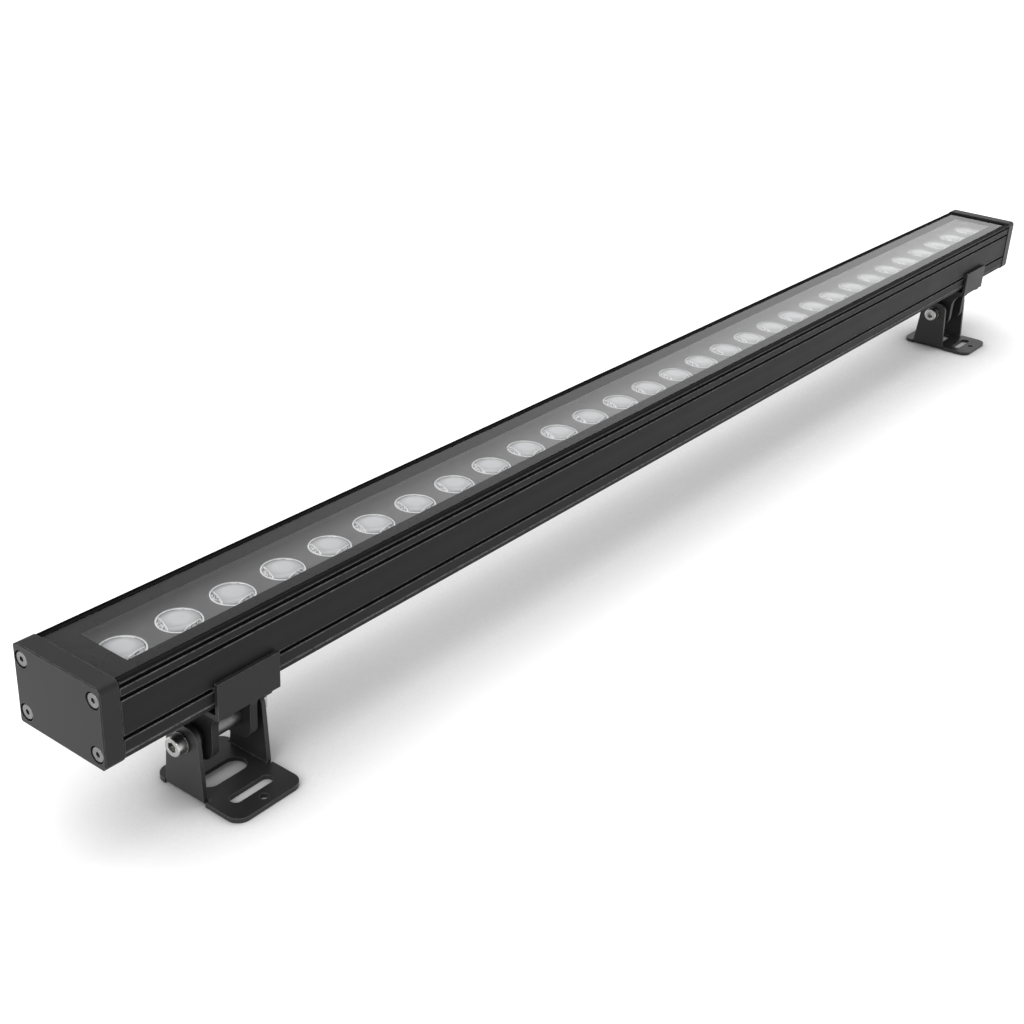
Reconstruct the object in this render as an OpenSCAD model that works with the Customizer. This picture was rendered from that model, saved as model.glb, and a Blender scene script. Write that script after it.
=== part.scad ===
/* [Housing] */
// Length over both end caps
bar_len = 1000; // [800:10:1300]
// Width of the extruded housing
housing_w = 56; // [54:0.5:60]
// Height of the extruded housing
housing_h = 39.6; // [39:0.2:46]
// Radius of the housing's outer edges
housing_r = 2; // [1:0.5:3]
// Thickness of the side walls beside the duct
wall_t = 4.7; // [4.5:0.1:5]
// Thickness of the housing's floor
floor_t = 2.5; // [2:0.1:4]
// Inside height of the wire duct
duct_h = 9.9; // [9.6:0.1:11]
// Thickness of the web that carries the boards
web_t = 2.6; // [2:0.1:4]
// Width of the rails beside the glass
rail_w = 2.9; // [2.8:0.1:3.5]
// Width of the step along the top of each rail, which the seal covers
rail_step_w = 1.1; // [0.6:0.1:1.2]
// Depth of the step along the top of each rail
rail_step_d = 1.1; // [0.8:0.1:1.2]
// Width of the ledges under the glass
glass_ledge = 3.8; // [3.4:0.1:4]
// Width of the ledges under the lens plate
lens_ledge = 1; // [0.8:0.1:1.5]
// Thickness of the ledges under the lens plate
ledge_t = 1; // [0.8:0.1:2]
// Depth of the grooves along the sides
groove_d = 1.5; // [1:0.1:1.8]
// Height of the grooves along the sides
groove_h = 2.1; // [1.9:0.1:2.6]
// Chamfer on the lower lip of each groove
groove_lip = 0.4; // [0.2:0.1:0.6]
// Height of the clip groove above the housing's underside
clip_groove_z = 9.9; // [8:0.1:11]
// Drop of the middle groove from the housing's top
mid_groove_drop = 10.1; // [9.5:0.1:12]
// Thickness of the lip above the upper groove
top_lip = 1.8; // [1.6:0.1:2.4]
// Height of the drip line above the housing's underside
drip_z = 3.2; // [2.6:0.1:4]
// Depth and height of the drip line
drip_d = 0.5; // [0.3:0.1:0.8]

/* [End caps] */
// Thickness of an end cap
cap_t = 10; // [8:0.5:14]
// How far an end cap stands proud of the housing all round
cap_rim = 0.6; // [0.4:0.1:1.2]
// Radius of an end cap's corners
cap_r = 3; // [2:0.5:5]
// Chamfer round an end cap's outer face
cap_edge = 0.5; // [0.3:0.1:1]
// Thickness of the gasket under an end cap
gasket_t = 0.8; // [0.5:0.1:1.5]
// How far the gasket stays in from the housing's outline
gasket_inset = 0.7; // [0.5:0.1:1.2]
// Height of the lower screw ports
port_low = 6.2; // [5.8:0.1:7]
// Wall between the screw ports and the pockets of the glass and the lens plate
port_wall = 0.6; // [0.4:0.1:0.8]
// Diameter of the screw ports
port_d = 3.3; // [3:0.1:3.4]
// Diameter of a cap screw's shank
cap_screw_d = 3.2; // [2.6:0.1:3.2]
// Diameter of a cap screw's head
cap_head_d = 7.6; // [6.5:0.1:8]
// Height of a cap screw's head
cap_head_h = 2.4; // [2:0.1:3]
// Grip of a cap screw inside the housing
cap_screw_grip = 12; // [8:1:20]
// Gap round a cap screw's head in its counterbore
head_gap = 0.5; // [0.3:0.1:0.6]
// How far a cap screw's head lies below the cap's face
head_sink = 0.4; // [0.1:0.1:1]
// Size of the hexagon in a cap screw's head, across flats
cap_hex = 2.5; // [2:0.5:3]

/* [Glass] */
// Thickness of the glass cover
glass_t = 3; // [2.5:0.1:3.4]
// How far the glass lies below the rails
glass_drop = 0.9; // [0.7:0.1:1.1]
// Thickness of the printed border under the glass
print_t = 0.1; // [0.1:0.05:0.2]
// Thickness of the seal under the glass
bed_t = 0.3; // [0.2:0.1:0.5]
// Width of the seal along each side of the glass
bead_w = 1; // [0.8:0.1:1.4]
// Width of the seal at each end of the glass
end_bead_w = 0.4; // [0.3:0.1:1]
// How far the seal stays below the tops of the rails
seal_drop = 0.7; // [0.6:0.1:0.8]
// Width of the printed border along each side of the window
border_w = 8.6; // [6:0.2:11]
// Distance of the window's ends from the ends of the bar
window_in = 25; // [22:0.5:40]

/* [Optics] */
// Distance from one lens to the next
lens_pitch = 32.1; // [30:0.1:40]
// Diameter of a lens at its rim
lens_d = 22; // [18:0.5:24]
// Height of a lens's rim above its board
lens_h = 14; // [13.5:0.1:14.5]
// Gap round a lens in the lens plate
lens_gap = 0.25; // [0.2:0.05:0.5]
// Thickness of the lens plate
lens_plate_t = 1.5; // [1:0.1:2]
// Side clearance of the lens plate
lens_plate_gap = 0.2; // [0.1:0.1:0.4]
// Width of an LED board
board_w = 30; // [26:1:34]
// Thickness of an LED board
board_t = 1.6; // [1:0.1:2]
// Width of an LED package
led_w = 3.5; // [3:0.1:4]
// Diameter of a board screw's shank
board_screw_d = 2.8; // [2.4:0.1:3]

/* [Power] */
// Length of the driver
driver_len = 300; // [200:10:320]
// Gap between the driver and the sides of the duct
driver_side = 7.3; // [5:0.1:9]
// Height of the driver
driver_h = 8.6; // [7.6:0.1:9]
// Diameter of an inside wire
wire_d = 2; // [1.6:0.1:2.2]
// Length of the terminal block
terminal_len = 18; // [14:1:22]
// Diameter of the cable that the gland takes
cable_d = 7; // [6:0.5:7.5]
// Height of the gland above the housing's underside
gland_z = 9.4; // [9:0.1:11]
// Size of the gland's hexagons, across flats
gland_hex = 15; // [14:0.5:16]
// Diameter of the gland's thread
gland_d = 12; // [10:0.5:12.5]

/* [Clips] */
// Distance of each clip's middle from the end of the bar
clip_in = 79; // [60:1:200]
// Length of a clip along the bar
clip_len = 38; // [34:1:50]
// Thickness of a clip's side flanges
flange_t = 2; // [1.5:0.1:2.5]
// Gap between a side flange and the housing
flange_gap = 0.8; // [0.4:0.1:1.2]
// Height of the side flanges above the housing's underside
flange_h = 14.3; // [13.5:0.1:17]
// Thickness of a clip's plate
clip_t = 2.5; // [2:0.1:3.5]
// Thickness of the rubber pad between clip and housing
pad_t = 2.7; // [2:0.1:3.5]
// Radius of the flanges' lower edges
flange_r = 0.8; // [0.3:0.1:1]
// Clearance round a clip's lip in its groove
lip_gap = 0.3; // [0.2:0.05:0.4]
// Thickness of a clip's legs
leg_t = 4.4; // [3:0.1:5]
// Width of a leg round the pivot
leg_w = 24.6; // [20:0.2:26]
// How far a leg reaches below the pivot
leg_tip = 11; // [9:0.5:13]
// Radius of a leg's lower corners
leg_tip_r = 8; // [5:0.5:9]
// Radius of the sweep from a leg up to the plate
leg_sweep = 12; // [8:0.5:12]
// Depth of the shoulder between a leg's sweep and the plate
leg_shoulder = 0.8; // [0.6:0.1:4]
// Radius of the fillets between a clip's plate and its legs
leg_fillet = 1.5; // [0.5:0.1:2]
// Diameter of the clamp screws in a clip's plate
clamp_d = 4; // [3:0.5:5]
// Distance of the clamp screws from the housing's sides
clamp_side = 11; // [8:0.5:14]
// How far the rubber pad stays in from the housing's sides
pad_side = 6; // [4:0.5:7]

/* [Feet] */
// Height of the pivot above the mounting face
pivot_h = 30; // [26:0.5:36]
// Distance from the pivot up to a clip's plate
pivot_rise = 20.2; // [19:0.1:24]
// How far the housing's middle lies behind the pivot
bar_back = 7.5; // [4:0.5:10]
// Thickness of a foot's sheet
foot_t = 2.5; // [2:0.1:3]
// Width over a foot's ears
foot_w = 42.8; // [40:0.2:48]
// How far a foot's plate reaches in front of the slot line
foot_front = 14; // [12:0.5:20]
// How far a foot's plate reaches behind the slot line
foot_back = 44; // [38:0.5:60]
// Radius of a foot's corners
foot_r = 7; // [4:0.5:10]
// Width of an ear at its base
ear_w = 26; // [22:0.5:28]
// How much an ear narrows on each side towards its top
ear_taper = 2.5; // [0:0.1:3]
// Height of an ear above the pivot
ear_top = 9.5; // [8:0.5:10]
// Radius of an ear's upper corners
ear_r = 6; // [4:0.5:8]
// Outside radius of the bend from plate to ear
ear_bend = 2.7; // [2.6:0.1:4]
// Width of the bend relief notches
notch_w = 1; // [0.8:0.1:2]
// Distance from the slot line back to the pivot
slot_to_pivot = 22; // [20:0.5:26]
// Width of the front slot
slot_w = 6.5; // [5:0.5:8]
// Distance from the ends of the front slot to the outsides of the ears
slot_side = 8.4; // [7:0.2:12]
// Width of the middle slot
mid_slot_w = 12; // [10:0.5:12]
// Distance from the ends of the middle slot to the outsides of the ears
mid_slot_side = 7.4; // [6.8:0.2:11]
// Distance from the slot line back to the middle slot
mid_slot_back = 20; // [18:0.5:24]
// Diameter of the small fixing hole
pilot_d = 4.5; // [3:0.5:5]
// Distance from the slot line forward to the small fixing hole
pilot_front = 8.5; // [7.5:0.5:9.5]

/* [Pivot] */
// Diameter of the pivot bolt
bolt_d = 6; // [5:0.5:8]
// Running clearance round the bolt, on the radius
bolt_gap = 0.05; // [0.02:0.01:0.1]
// Diameter of the bolt's head
bolt_head_d = 10; // [9:0.5:13]
// Height of the bolt's head
bolt_head_h = 5; // [3.5:0.5:6]
// Size of the hexagon in the bolt's head, across flats
bolt_hex = 5; // [4:0.5:6]
// Outside diameter of the washer
washer_d = 11; // [10.5:0.5:14]
// Thickness of the washer
washer_t = 1; // [0.8:0.1:2]
// Diameter of the nut's flange
nut_flange_d = 14.2; // [12.5:0.1:17]
// Size of the nut, across flats
nut_hex = 10; // [9:0.5:13]
// Height of the nut
nut_h = 6; // [5:0.5:8]
// Outside diameter of the spacer tube between the legs
tube_d = 12; // [9:0.5:14]
// Outside diameter of the rings between legs and ears
ring_d = 12; // [10:0.5:14]
// Length of the rings between legs and ears
ring_len = 4.8; // [4:0.2:6]

/* [Hidden] */
$fn = 48;
// A little extra that lets a cut pass right through a face
over = 0.1;

// Colours of the finishes
black_coat = [0.13, 0.13, 0.13];
cap_coat = [0.2, 0.2, 0.2];
rubber_black = [0.05, 0.05, 0.05];
bright_steel = [0.72, 0.72, 0.7];
board_white = [0.9, 0.9, 0.88];
glass_tint = [0.75, 0.82, 0.85, 0.35];

// Places along the bar
housing_len = bar_len - 2 * (cap_t + gasket_t);
housing_end = housing_len / 2;
clip_x = bar_len / 2 - clip_in;

// Heights above the mounting face
clip_bottom = pivot_h + pivot_rise;
clip_top = clip_bottom + clip_t;
housing_z = clip_top + pad_t;
pivot_y = slot_to_pivot;
bar_y = pivot_y + bar_back;

// Heights above the housing's underside
duct_top = floor_t + duct_h;
web_top = duct_top + web_t;
board_top = web_top + board_t;
lens_top = board_top + lens_h;
lens_seat = lens_top - lens_plate_t;
glass_top = housing_h - glass_drop;
glass_bottom = glass_top - glass_t;
print_bottom = glass_bottom - print_t;
glass_seat = print_bottom - bed_t;
port_high = glass_seat - port_wall - port_d / 2;
top_groove_z = housing_h - top_lip - groove_h;

// Widths, each measured from the housing's middle plane
duct_half = housing_w / 2 - wall_t;
seat_half = housing_w / 2 - rail_w;
step_half = seat_half + rail_step_w;
glass_half = seat_half - bead_w;
glass_len = housing_len - 2 * end_bead_w;
lens_plate_half = seat_half - glass_ledge;
port_y = lens_plate_half + port_wall + port_d / 2;
ledge_half = lens_plate_half - lens_ledge;
window_len = bar_len - 2 * window_in;
window_half = glass_half - border_w;
seal_top = housing_h - seal_drop;

// The row of lenses, in three boards of equal length
lenses_per_board = floor((housing_len - 2) / (3 * lens_pitch) + 0.001);
board_len = lenses_per_board * lens_pitch;
board_gap = 0.3;
tapped_depth = web_t - 0.5;

// The wires come up through the web in the middle gap of the middle board
lead_x = lenses_per_board % 2 == 0 ? 0 : lens_pitch / 2;
grommet_bore = 2 * wire_d + 0.4;
grommet_hole = grommet_bore + 2.4;
grommet_rim = 1;
lead_hole = grommet_hole + 2 * grommet_rim + 0.4;

// The terminals stand on the board on both sides of that hole
terminal_w = 5.2;
terminal_y = lead_hole / 2 + 0.6 + terminal_w / 2;
terminal_z = board_top + 2;
wire_z = floor_t + 3.2;
wire_rows = [-6, 0, 6];

// The driver lies in the duct behind the terminal block, with room for the wires between them
terminal_in = 12;
wire_room = 30;
terminal_x = housing_end - terminal_in - terminal_len / 2;
driver_end = housing_end - terminal_in - terminal_len - wire_room;
driver_x = driver_end - driver_len / 2;
driver_w = 2 * (duct_half - driver_side);
case_wall = 0.8;
driver_board_t = 1.2;

// The gland's ring, hexagon and collar, from the cap's face outwards
gland_ring_t = 1;
gland_base = 5;
gland_collar = 8;
gland_collar_d = gland_hex - 3;
gland_bore = cable_d + 2.4;

// Widths of the clip, measured from the housing's middle plane
flange_in = housing_w / 2 + flange_gap;
flange_out = flange_in + flange_t;
clip_reach = flange_out - flange_r;
lip_low = clip_groove_z + lip_gap;
lip_high = clip_groove_z + groove_h - lip_gap;
lip_in = housing_w / 2 - groove_d + lip_gap;
ears_in = foot_w - 2 * foot_t;
legs_over = ears_in - 2 * ring_len;
legs_in = legs_over - 2 * leg_t;
bend_room = ear_bend + 0.5;
slot_len = foot_w - 2 * slot_side;
mid_slot_len = foot_w - 2 * mid_slot_side;

// The bolt runs from the head's seat on the washer to the nut's outer face
bolt_seat = -foot_w / 2 - washer_t;
bolt_end = foot_w / 2 + nut_h;

// Points of an arc about a centre, from one angle to another
function arc(centre, radius, from, to, steps = 8) = [
    for (i = [0:steps])
        centre + radius * [cos(from + (to - from) * i / steps), sin(from + (to - from) * i / steps)]
];

// A hexagon's radius over its corners from its size across flats
function hex_r(flats) = flats / 2 / cos(30);

// Extrudes a profile drawn in Y and Z along X, centred on X
module along_x(length) {
    translate([-length / 2, 0, 0])
        rotate([90, 0, 90])
            linear_extrude(height = length) children();
}

// Extrudes a profile drawn in X and Z along Y, from one Y to another
module along_y(from, to) {
    translate([0, to, 0])
        rotate([90, 0, 0])
            linear_extrude(height = to - from) children();
}

// A cylinder along X from one X to another
module rod_x(d, from, to, sides = 48) {
    translate([from, 0, 0])
        rotate([0, 90, 0])
            cylinder(d = d, h = to - from, $fn = sides);
}

// A hexagonal prism along X from one X to another
module hex_x(flats, from, to) {
    translate([from, 0, 0])
        rotate([0, 90, 0])
            cylinder(r = hex_r(flats), h = to - from, $fn = 6);
}

// A rectangle with rounded corners, centred on its width and standing on its lower edge
module rounded_rect(w, h, r) {
    translate([-w / 2 + r, 0]) square([w - 2 * r, h]);
    translate([-w / 2, r]) square([w, h - 2 * r]);
    for (side = [-1, 1]) {
        for (z = [r, h - r]) {
            translate([side * (w / 2 - r), z]) circle(r = r);
        }
    }
}

// A slot with round ends, end to end along X
module slot_shape(length, w) {
    translate([-(length - w) / 2, -w / 2]) square([length - w, w]);
    for (side = [-1, 1]) {
        translate([side * (length - w) / 2, 0]) circle(d = w);
    }
}

// Puts its children on both sides of the middle plane
module both_sides() {
    for (side = [0, 1]) {
        mirror([side, 0]) children();
    }
}

// Moves its children into the housing's own frame, on its underside
module in_bar() {
    translate([0, bar_y, housing_z]) children();
}

// Moves its children to a pivot's axis at one end of the bar
module at_pivot(end) {
    translate([end * clip_x, pivot_y, pivot_h]) children();
}

// Section of a groove in the right-hand side, with its lower lip chamfered
module groove_shape(z) {
    side = housing_w / 2;
    polygon([
        [side + over, z + groove_h],
        [side - groove_d, z + groove_h],
        [side - groove_d, z],
        [side - groove_lip, z],
        [side, z - groove_lip],
        [side + over, z - groove_lip]
    ]);
}

// Section of the drip line in the right-hand side
module drip_shape() {
    side = housing_w / 2;
    polygon([
        [side + over, drip_z + drip_d],
        [side - drip_d, drip_z + drip_d],
        [side + over, drip_z - over]
    ]);
}

// Section of the extruded housing
module housing_section() {
    boss_r = port_d / 2 + 1.4;
    difference() {
        rounded_rect(housing_w, housing_h, housing_r);
        both_sides() {
            groove_shape(clip_groove_z);
            groove_shape(housing_h - mid_groove_drop);
            groove_shape(top_groove_z);
            drip_shape();
        }
        difference() {
            translate([-duct_half, floor_t]) square([2 * duct_half, duct_h]);
            both_sides() translate([port_y, port_low]) circle(r = boss_r);
        }
        translate([-duct_half, web_top])
            square([2 * duct_half, lens_seat - ledge_t - web_top]);
        translate([-ledge_half, web_top])
            square([2 * ledge_half, housing_h - web_top]);
        translate([-lens_plate_half, lens_seat])
            square([2 * lens_plate_half, housing_h - lens_seat]);
        translate([-seat_half, glass_seat])
            square([2 * seat_half, housing_h - glass_seat + over]);
        translate([-step_half, housing_h - rail_step_d])
            square([2 * step_half, rail_step_d + over]);
        both_sides() {
            translate([port_y, port_low]) circle(d = port_d);
            translate([port_y, port_high]) circle(d = port_d);
        }
    }
}

// Places of the board screws, two to each board, in gaps between lenses
function board_x(board) = (board - 1) * board_len;
function screw_x(board) = [
    for (side = [-1, 1]) board_x(board) + side * (lenses_per_board / 2 - 2) * lens_pitch
];

module housing() {
    color(black_coat)
        in_bar()
            difference() {
                along_x(housing_len) housing_section();
                for (board = [0:2]) {
                    for (x = screw_x(board)) {
                        translate([x, 0, web_top - tapped_depth])
                            cylinder(d = board_screw_d + 0.1, h = tapped_depth + over);
                    }
                }
                translate([lead_x, 0, duct_top - over])
                    cylinder(d = grommet_hole, h = web_t + 2 * over);
            }
}

// The four places of the cap screws, drawn in Y and Z
module at_ports() {
    for (side = [-1, 1]) {
        for (z = [port_low, port_high]) {
            translate([0, side * port_y, z]) children();
        }
    }
}

// Block of an end cap, its outer face towards -X with a chamfer round it
module cap_block() {
    cap_w = housing_w + 2 * cap_rim;
    cap_h = housing_h + 2 * cap_rim;
    intersection() {
        translate([cap_t / 2, 0, -cap_rim])
            along_x(cap_t) rounded_rect(cap_w, cap_h, cap_r);
        translate([0, 0, -cap_rim])
            along_y(-cap_w, cap_w)
                polygon([[0, cap_edge], [cap_edge, 0], [cap_t, 0], [cap_t, cap_h],
                    [cap_edge, cap_h], [0, cap_h - cap_edge]]);
        translate([0, 0, -cap_h])
            linear_extrude(height = 3 * cap_h)
                polygon([[0, -cap_w / 2 + cap_edge], [cap_edge, -cap_w / 2], [cap_t, -cap_w / 2],
                    [cap_t, cap_w / 2], [cap_edge, cap_w / 2], [0, cap_w / 2 - cap_edge]]);
    }
}

// An end cap with its outer face at X = 0 and its inner face at X = cap_t
module end_cap() {
    color(cap_coat)
        difference() {
            cap_block();
            at_ports() {
                rod_x(cap_screw_d + 0.6, -over, cap_t + over);
                rod_x(cap_head_d + 2 * head_gap, -over, cap_head_h + head_sink);
            }
            // Pocket over the duct, which leaves room for the wires
            translate([cap_t - 3, -duct_half + 3, floor_t + 1])
                cube([3 + over, 2 * duct_half - 6, duct_h - 2]);
        }
}

module end_cap_left() {
    translate([-bar_len / 2, 0, 0]) in_bar() end_cap();
}

module end_cap_right() {
    color(cap_coat)
        in_bar()
            difference() {
                translate([bar_len / 2, 0, 0]) mirror([1, 0, 0]) end_cap();
                translate([0, 0, gland_z])
                    rod_x(gland_d, bar_len / 2 - cap_t - over, bar_len / 2 + over);
            }
}

// Flat gasket between the housing's end and a cap
module cap_gasket(x) {
    gasket_w = housing_w - 2 * gasket_inset;
    gasket_h = housing_h - 2 * gasket_inset;
    color(rubber_black)
        translate([x, 0, 0])
            in_bar()
                difference() {
                    translate([0, 0, gasket_inset])
                        along_x(gasket_t) rounded_rect(gasket_w, gasket_h, housing_r);
                    at_ports() rod_x(cap_screw_d + 0.6, -gasket_t, gasket_t);
                    translate([-gasket_t, -duct_half + 3, floor_t + 1])
                        cube([2 * gasket_t, 2 * duct_half - 6, duct_h - 2]);
                }
}

module cap_gasket_left() {
    cap_gasket(-housing_end - gasket_t / 2);
}

module cap_gasket_right() {
    cap_gasket(housing_end + gasket_t / 2);
}

// A cap screw along +X, its head's outer face at X = 0
module cap_screw() {
    rim = cap_head_d / 2;
    color(bright_steel)
        difference() {
            union() {
                rod_x(cap_head_d, 0, cap_head_h);
                rod_x(cap_screw_d, cap_head_h, cap_t + gasket_t + cap_screw_grip);
            }
            hex_x(cap_hex, -over, cap_head_h * 0.6);
            // Rounded rim of the head
            rotate([0, 90, 0])
                rotate_extrude()
                    polygon([[rim - 0.5, -over], [rim + over, -over], [rim + over, 0.6]]);
        }
}

module cap_screws_left() {
    translate([-bar_len / 2 + head_sink, 0, 0])
        in_bar()
            at_ports() cap_screw();
}

module cap_screws_right() {
    translate([bar_len / 2 - head_sink, 0, 0])
        mirror([1, 0, 0])
            in_bar()
                at_ports() cap_screw();
}

module glass_cover() {
    edge = 0.4;
    color(glass_tint)
        in_bar()
            intersection() {
                translate([-glass_len / 2, -glass_half, glass_bottom])
                    cube([glass_len, 2 * glass_half, glass_t]);
                along_x(glass_len + 2)
                    polygon([[-glass_half, glass_bottom - 1], [glass_half, glass_bottom - 1],
                        [glass_half, glass_top - edge], [glass_half - edge, glass_top],
                        [edge - glass_half, glass_top], [-glass_half, glass_top - edge]]);
            }
}

// Printed border on the underside of the glass, round the clear window
module glass_border() {
    color([0.08, 0.08, 0.08])
        in_bar()
            difference() {
                translate([-glass_len / 2, -glass_half, print_bottom])
                    cube([glass_len, 2 * glass_half, print_t]);
                translate([-window_len / 2, -window_half, print_bottom - over])
                    cube([window_len, 2 * window_half, print_t + 2 * over]);
            }
}

// Seal under the glass's edges, round its sides and over the rails' steps
module glass_seal() {
    bed_half = lens_plate_half + 0.2;
    bed_len = housing_len - 2 * (seat_half - bed_half);
    step_z = housing_h - rail_step_d;
    color(rubber_black)
        in_bar()
            difference() {
                union() {
                    translate([-housing_len / 2, -seat_half, glass_seat])
                        cube([housing_len, 2 * seat_half, seal_top - glass_seat]);
                    translate([-housing_len / 2, -step_half, step_z])
                        cube([housing_len, 2 * step_half, seal_top - step_z]);
                }
                translate([-glass_len / 2, -glass_half, print_bottom])
                    cube([glass_len, 2 * glass_half, glass_t + 1]);
                translate([-bed_len / 2, -bed_half, glass_seat - over])
                    cube([bed_len, 2 * bed_half, bed_t + 2 * over]);
            }
}

// Places of the lenses of one board along the bar
function lens_places(board) = [
    for (i = [0:lenses_per_board - 1]) board_x(board) + (i - (lenses_per_board - 1) / 2) * lens_pitch
];

module lens_plate() {
    half = lens_plate_half - lens_plate_gap;
    color([0.45, 0.45, 0.46])
        in_bar()
            difference() {
                translate([-housing_len / 2 + 1, -half, lens_seat])
                    cube([housing_len - 2, 2 * half, lens_plate_t]);
                for (board = [0:2]) {
                    for (x = lens_places(board)) {
                        translate([x, 0, lens_seat - over])
                            cylinder(d = lens_d + 2 * lens_gap, h = lens_plate_t + 2 * over);
                    }
                }
            }
}

// Half section of a lens: reflecting flank, flat rim, groove, dome standing above the rim, LED pocket
module lens_section() {
    rim_t = 1.2;
    foot_z = 1.2;
    foot_r = 4.8;
    rim_r = lens_d / 2;
    flank = [
        for (i = [0:8])
            [foot_r + (rim_r - 0.8 - foot_r) * pow(i / 8, 0.72), foot_z + (lens_h - rim_t - foot_z) * i / 8]
    ];
    dome_r = rim_r - 2.2;
    groove_z = lens_h - 0.9;
    dome = [for (a = [0:8]) [dome_r * cos(11.25 * a), lens_h + 0.8 + 1.9 * sin(11.25 * a)]];
    polygon(concat(
        [[3.2, foot_z]],
        flank,
        [[rim_r, lens_h - rim_t], [rim_r, lens_h], [rim_r - 1.1, lens_h], [rim_r - 1.4, groove_z]],
        [[dome_r + 0.3, groove_z]],
        dome,
        [[0, 6.2], [1.6, 6], [2.8, 5]]
    ));
}

// A lens on three legs, its legs standing on Z = 0
module lens() {
    color([0.9, 0.93, 0.95, 0.5])
        union() {
            rotate_extrude() lens_section();
            for (a = [90, 210, 330]) {
                rotate([0, 0, a])
                    translate([4.6, 0, 0]) cylinder(d = 1.8, h = 2, $fn = 24);
            }
        }
}

module lenses(board) {
    in_bar()
        for (x = lens_places(board)) {
            translate([x, 0, board_top]) lens();
        }
}

module lenses_left() {
    lenses(0);
}

module lenses_middle() {
    lenses(1);
}

module lenses_right() {
    lenses(2);
}

// An LED board with its screw holes and, in the middle one, the hole for the wires
module led_board(board) {
    color(board_white)
        in_bar()
            difference() {
                translate([board_x(board) - board_len / 2 + board_gap, -board_w / 2, web_top])
                    cube([board_len - 2 * board_gap, board_w, board_t]);
                for (x = screw_x(board)) {
                    translate([x, 0, web_top - over])
                        cylinder(d = board_screw_d + 0.4, h = board_t + 2 * over);
                }
                if (board == 1) {
                    translate([lead_x, 0, web_top - over])
                        cylinder(d = lead_hole, h = board_t + 2 * over);
                }
            }
}

module led_board_left() {
    led_board(0);
}

module led_board_middle() {
    led_board(1);
}

module led_board_right() {
    led_board(2);
}

// An LED package: ceramic base and clear dome
module led() {
    base_h = 0.8;
    color([0.95, 0.9, 0.6])
        union() {
            translate([-led_w / 2, -led_w / 2, 0]) cube([led_w, led_w, base_h]);
            intersection() {
                translate([0, 0, base_h - 0.2]) sphere(r = led_w * 0.42);
                translate([-led_w, -led_w, base_h / 2]) cube([2 * led_w, 2 * led_w, led_w]);
            }
        }
}

module leds(board) {
    in_bar()
        for (x = lens_places(board)) {
            translate([x, 0, board_top]) led();
        }
}

module leds_left() {
    leds(0);
}

module leds_middle() {
    leds(1);
}

module leds_right() {
    leds(2);
}

// Screws that hold the boards to the web
module board_screws() {
    head_d = 2 * board_screw_d;
    color(bright_steel)
        in_bar()
            for (board = [0:2]) {
                for (x = screw_x(board)) {
                    translate([x, 0, board_top])
                        difference() {
                            union() {
                                cylinder(d = head_d, h = 2);
                                translate([0, 0, 0.2 - board_t - tapped_depth])
                                    cylinder(d = board_screw_d, h = board_t + tapped_depth);
                            }
                            translate([0, 0, 0.8]) cylinder(r = hex_r(2), h = 2, $fn = 6);
                        }
                }
            }
}

// Short links that carry the current from board to board, on the boards' edges
module board_jumpers() {
    link_w = 1.6;
    link_len = lens_pitch / 4;
    pad_len = link_len / 4;
    link_y = board_w / 2 - 2.5;
    color([0.8, 0.1, 0.1])
        in_bar()
            for (joint = [-1, 1]) {
                for (side = [-1, 1]) {
                    translate([joint * board_len / 2, side * link_y - link_w / 2, board_top])
                        union() {
                            translate([-link_len / 2, 0, 0]) cube([pad_len, link_w, 1.2]);
                            translate([link_len / 2 - pad_len, 0, 0]) cube([pad_len, link_w, 1.2]);
                            translate([-link_len / 2, 0, 1]) cube([link_len, link_w, 0.8]);
                        }
                }
            }
}

// Sheet case of the driver, open at both ends for its wires
module driver_case() {
    color([0.75, 0.75, 0.76])
        in_bar()
            translate([driver_x, 0, floor_t])
                difference() {
                    translate([-driver_len / 2, -driver_w / 2, 0])
                        cube([driver_len, driver_w, driver_h]);
                    translate([-driver_len / 2 - over, -driver_w / 2 + case_wall, case_wall])
                        cube([driver_len + 2 * over, driver_w - 2 * case_wall, driver_h - 2 * case_wall]);
                }
}

module driver_board() {
    half = driver_w / 2 - case_wall - 0.4;
    color([0.1, 0.4, 0.2])
        in_bar()
            translate([driver_x, -half, floor_t + case_wall])
                translate([2 - driver_len / 2, 0, 0])
                    cube([driver_len - 4, 2 * half, driver_board_t]);
}

// Larger parts on the driver's board: coil, transformer, three capacitors lying down, heat spreader
module driver_parts() {
    room = driver_h - 2 * case_wall - driver_board_t - 0.3;
    block_w = driver_w / 2;
    wide_w = driver_w * 0.56;
    color([0.2, 0.2, 0.25])
        in_bar()
            translate([driver_x, 0, floor_t + case_wall + driver_board_t])
                union() {
                    translate([-driver_len * 0.38, -block_w / 2, 0])
                        cube([driver_len * 0.09, block_w, room]);
                    translate([-driver_len * 0.2, -wide_w / 2, 0])
                        cube([driver_len * 0.1, wide_w, room]);
                    for (i = [0:2]) {
                        translate([driver_len * (0.05 + 0.06 * i), -wide_w / 2, room / 2])
                            rotate([-90, 0, 0]) cylinder(d = room, h = wide_w);
                    }
                    translate([driver_len * 0.32, -block_w / 2, 0])
                        cube([driver_len * 0.07, block_w, room]);
                }
}

// Terminal block that joins the mains lead to the driver's wires
module terminal_block() {
    block_w = wire_rows[2] - wire_rows[0] + 6;
    block_h = 8;
    color([0.9, 0.9, 0.9])
        in_bar()
            translate([terminal_x, 0, floor_t])
                difference() {
                    translate([-terminal_len / 2, -block_w / 2, 0])
                        cube([terminal_len, block_w, block_h]);
                    for (y = wire_rows) {
                        translate([0, y, wire_z - floor_t])
                            rod_x(wire_d + 0.4, -terminal_len, terminal_len, 24);
                        translate([terminal_len / 4, y, block_h / 2])
                            cylinder(d = 3, h = block_h, $fn = 24);
                    }
                }
}

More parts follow.
